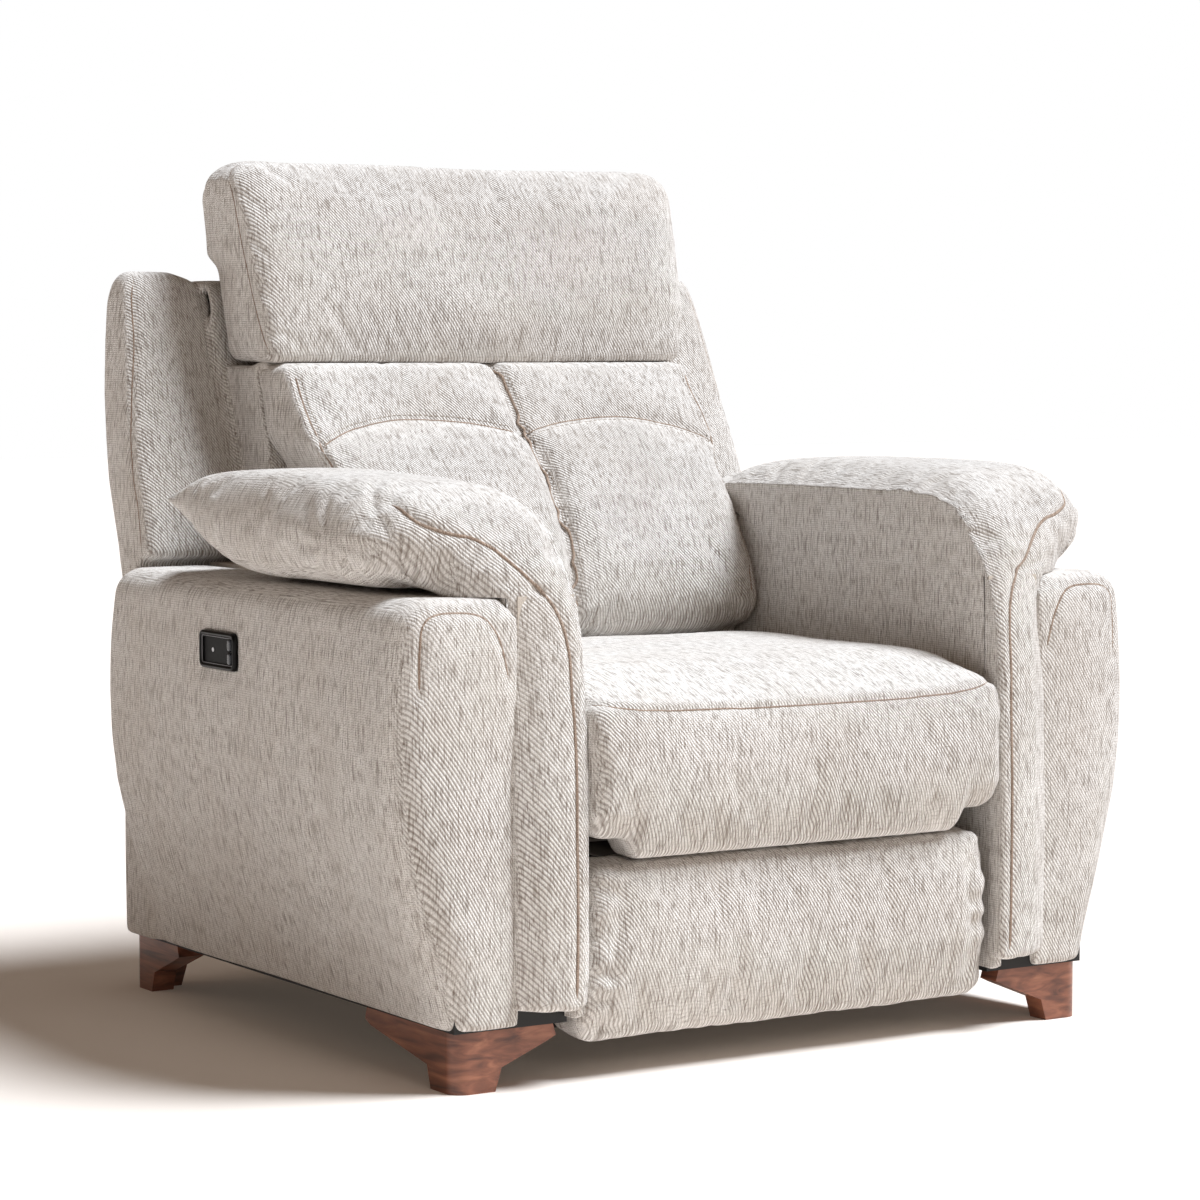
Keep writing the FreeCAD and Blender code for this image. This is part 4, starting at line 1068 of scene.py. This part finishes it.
def control():
    lo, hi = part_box("control_bezel")
    cy, cz, hy, hz = (lo.y + hi.y) * 500, (lo.z + hi.z) * 500, (hi.y - lo.y) * 500, (hi.z - lo.z) * 500
    base = resample(rounded([(cy - hy, cz - hz, 10), (cy + hy, cz - hz, 10), (cy + hy, cz + hz, 10), (cy - hy, cz + hz, 10)], 10), 160)
    def ring(name, prof, mat):
        verts, faces = [], []
        k, n = len(prof), len(base)
        for d, x in prof:
            p = offset2(base, d)
            verts += [(x / 1000, q[0] / 1000, q[1] / 1000) for q in p]
        for i in range(k):
            for j in range(n):
                a_, b_ = i * n + j, i * n + (j + 1) % n
                c_, d_ = ((i + 1) % k) * n + (j + 1) % n, ((i + 1) % k) * n + j
                faces.append((a_, b_, c_, d_))
        ob = new_mesh(name, verts, faces)
        ob.data.polygons.foreach_set("use_smooth", [True] * len(faces))
        ob.data.materials.append(mat)
        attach(ob, "base")
        return ob
    xb, xt = hi.x * 1000, lo.x * 1000
    prof = [(0.2, xb), (0, xb - 2.5), (0.3, xt + 2.2), (1.4, xt + 0.7), (3.0, xt + 0.1), (4.6, xt + 0.5), (5.8, xt + 1.8), (6.2, xt + 3.6), (6.4, xb)]
    b1 = ring("control_surround", prof, GLOSS)
    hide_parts("control_bezel")
    b2 = ring("control_line", [(6.0, xt + 2.0), (6.3, xt + 1.55), (6.9, xt + 1.7), (7.2, xt + 2.2), (6.9, xt + 2.8), (6.2, xt + 2.8)], hard("grey_line", (120, 120, 124), 0.3, 0.4, amount=0.05))
    for nm in ("button_upper", "button_lower"):
        lo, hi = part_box(nm)
        by, bz, gy, gz = (lo.y + hi.y) * 500, (lo.z + hi.z) * 500, (hi.y - lo.y) * 500, (hi.z - lo.z) * 500
        r = min(gy, gz) * 0.9
        cap = resample(rounded([(by - gy, bz - gz, r), (by + gy, bz - gz, r), (by + gy, bz + gz, r), (by - gy, bz + gz, r)], 8), 48)
        rings = []
        for x, d in ((hi.x * 1000, 0.0), (lo.x * 1000 + 1.6, 0.0), (lo.x * 1000 + 0.8, 0.3), (lo.x * 1000 + 0.2, 1.1), (lo.x * 1000, 2.2)):
            p = offset2(cap, d)
            rings.append(np.column_stack([np.full(len(p), x), p[:, 0] - SHIFT, p[:, 1]]))
        ob = loft(nm + "_cap", np.array(rings))
        ob.data.polygons.foreach_set("use_smooth", [len(p.vertices) == 4 for p in ob.data.polygons])
        ob.data.materials.append(BTN)
        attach(ob, nm)
        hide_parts(nm)

control()
seat()
footrest()
lumbar()
head()
for sd in (-1, 1):
    arm_pad(sd)
    arm_side(sd)
    arm_lining(sd)
back_shell()
back_lining()
skirt()
crossing()

# ---------------------------------------------------------------- floor, light, camera
bpy.ops.mesh.primitive_plane_add(size=40, location=(0, 0, 0))
floor = bpy.context.object
floor.name = "floor"
fm, ft, fb = mat_new("floor_white")
tc = node(ft, "ShaderNodeTexCoord")
fn_ = node(ft, "ShaderNodeTexNoise")
fn_.inputs["Scale"].default_value = 3.0
ft.links.new(tc.outputs["Object"], fn_.inputs["Vector"])
ft.links.new(mixc(ft, fn_.outputs[0], (0.80, 0.74, 0.685, 1), (0.81, 0.75, 0.695, 1)), fb.inputs["Base Color"])
fb.inputs["Emission Color"].default_value = (1.0, 0.84, 0.70, 1)
fb.inputs["Emission Strength"].default_value = 0.05
fb.inputs["Roughness"].default_value = 0.9
floor.data.materials.append(fm)

w = bpy.data.worlds.new("studio")
bpy.context.scene.world = w
w.use_nodes = True
wt = w.node_tree
bg = wt.nodes["Background"]
bg.inputs[0].default_value = (1.0, 0.70, 0.50, 1)
bg.inputs[1].default_value = 0.11
seen = wt.nodes.new("ShaderNodeBackground")
seen.inputs[0].default_value = (1, 1, 1, 1)
seen.inputs[1].default_value = 1.0
lp = wt.nodes.new("ShaderNodeLightPath")
mx = wt.nodes.new("ShaderNodeMixShader")
wt.links.new(lp.outputs["Is Camera Ray"], mx.inputs[0])
wt.links.new(bg.outputs[0], mx.inputs[1])
wt.links.new(seen.outputs[0], mx.inputs[2])
wt.links.new(mx.outputs[0], wt.nodes["World Output"].inputs[0])

def area(name, loc, target, size, power, color=(1, 1, 1)):
    d = bpy.data.lights.new(name, "AREA")
    d.shape = "RECTANGLE"
    d.size, d.size_y = size
    d.energy = power
    d.color = color
    o = bpy.data.objects.new(name, d)
    col.objects.link(o)
    o.location = loc
    o.rotation_euler = (Vector(target) - Vector(loc)).to_track_quat("-Z", "Y").to_euler()
    return o

sd_ = bpy.data.lights.new("key", "SUN")
sd_.energy = 5.3
sd_.angle = 0.42
sd_.color = (0.95, 1.0, 1.06)
so_ = bpy.data.objects.new("key", sd_)
col.objects.link(so_)
so_.rotation_euler = Vector((-0.45, 0.30, -0.88)).to_track_quat("-Z", "Y").to_euler()
area("fill", (-0.6, -4.2, 1.7), (0, 0, 0.5), (1.6, 1.2), 12, (1.0, 0.84, 0.70))
area("rim", (-3.0, 2.2, 2.0), (0, 0.1, 0.6), (1.0, 2.0), 6, (1.0, 0.84, 0.70))

cd = bpy.data.cameras.new("cam")
cam = bpy.data.objects.new("cam", cd)
col.objects.link(cam)
az, el = math.radians(-32.583), math.radians(4.058)
back = Vector((math.sin(az) * math.cos(el), -math.cos(az) * math.cos(el), math.sin(el)))
cam.location = (-2.378, -3.754, 0.814)
cam.rotation_euler = (-back).to_track_quat("-Z", "Y").to_euler()
cd.sensor_width = 36.0
cd.lens = 107.6
bpy.context.scene.camera = cam
bpy.context.scene.view_settings.view_transform = "Standard"
bpy.context.scene.view_settings.look = "None"
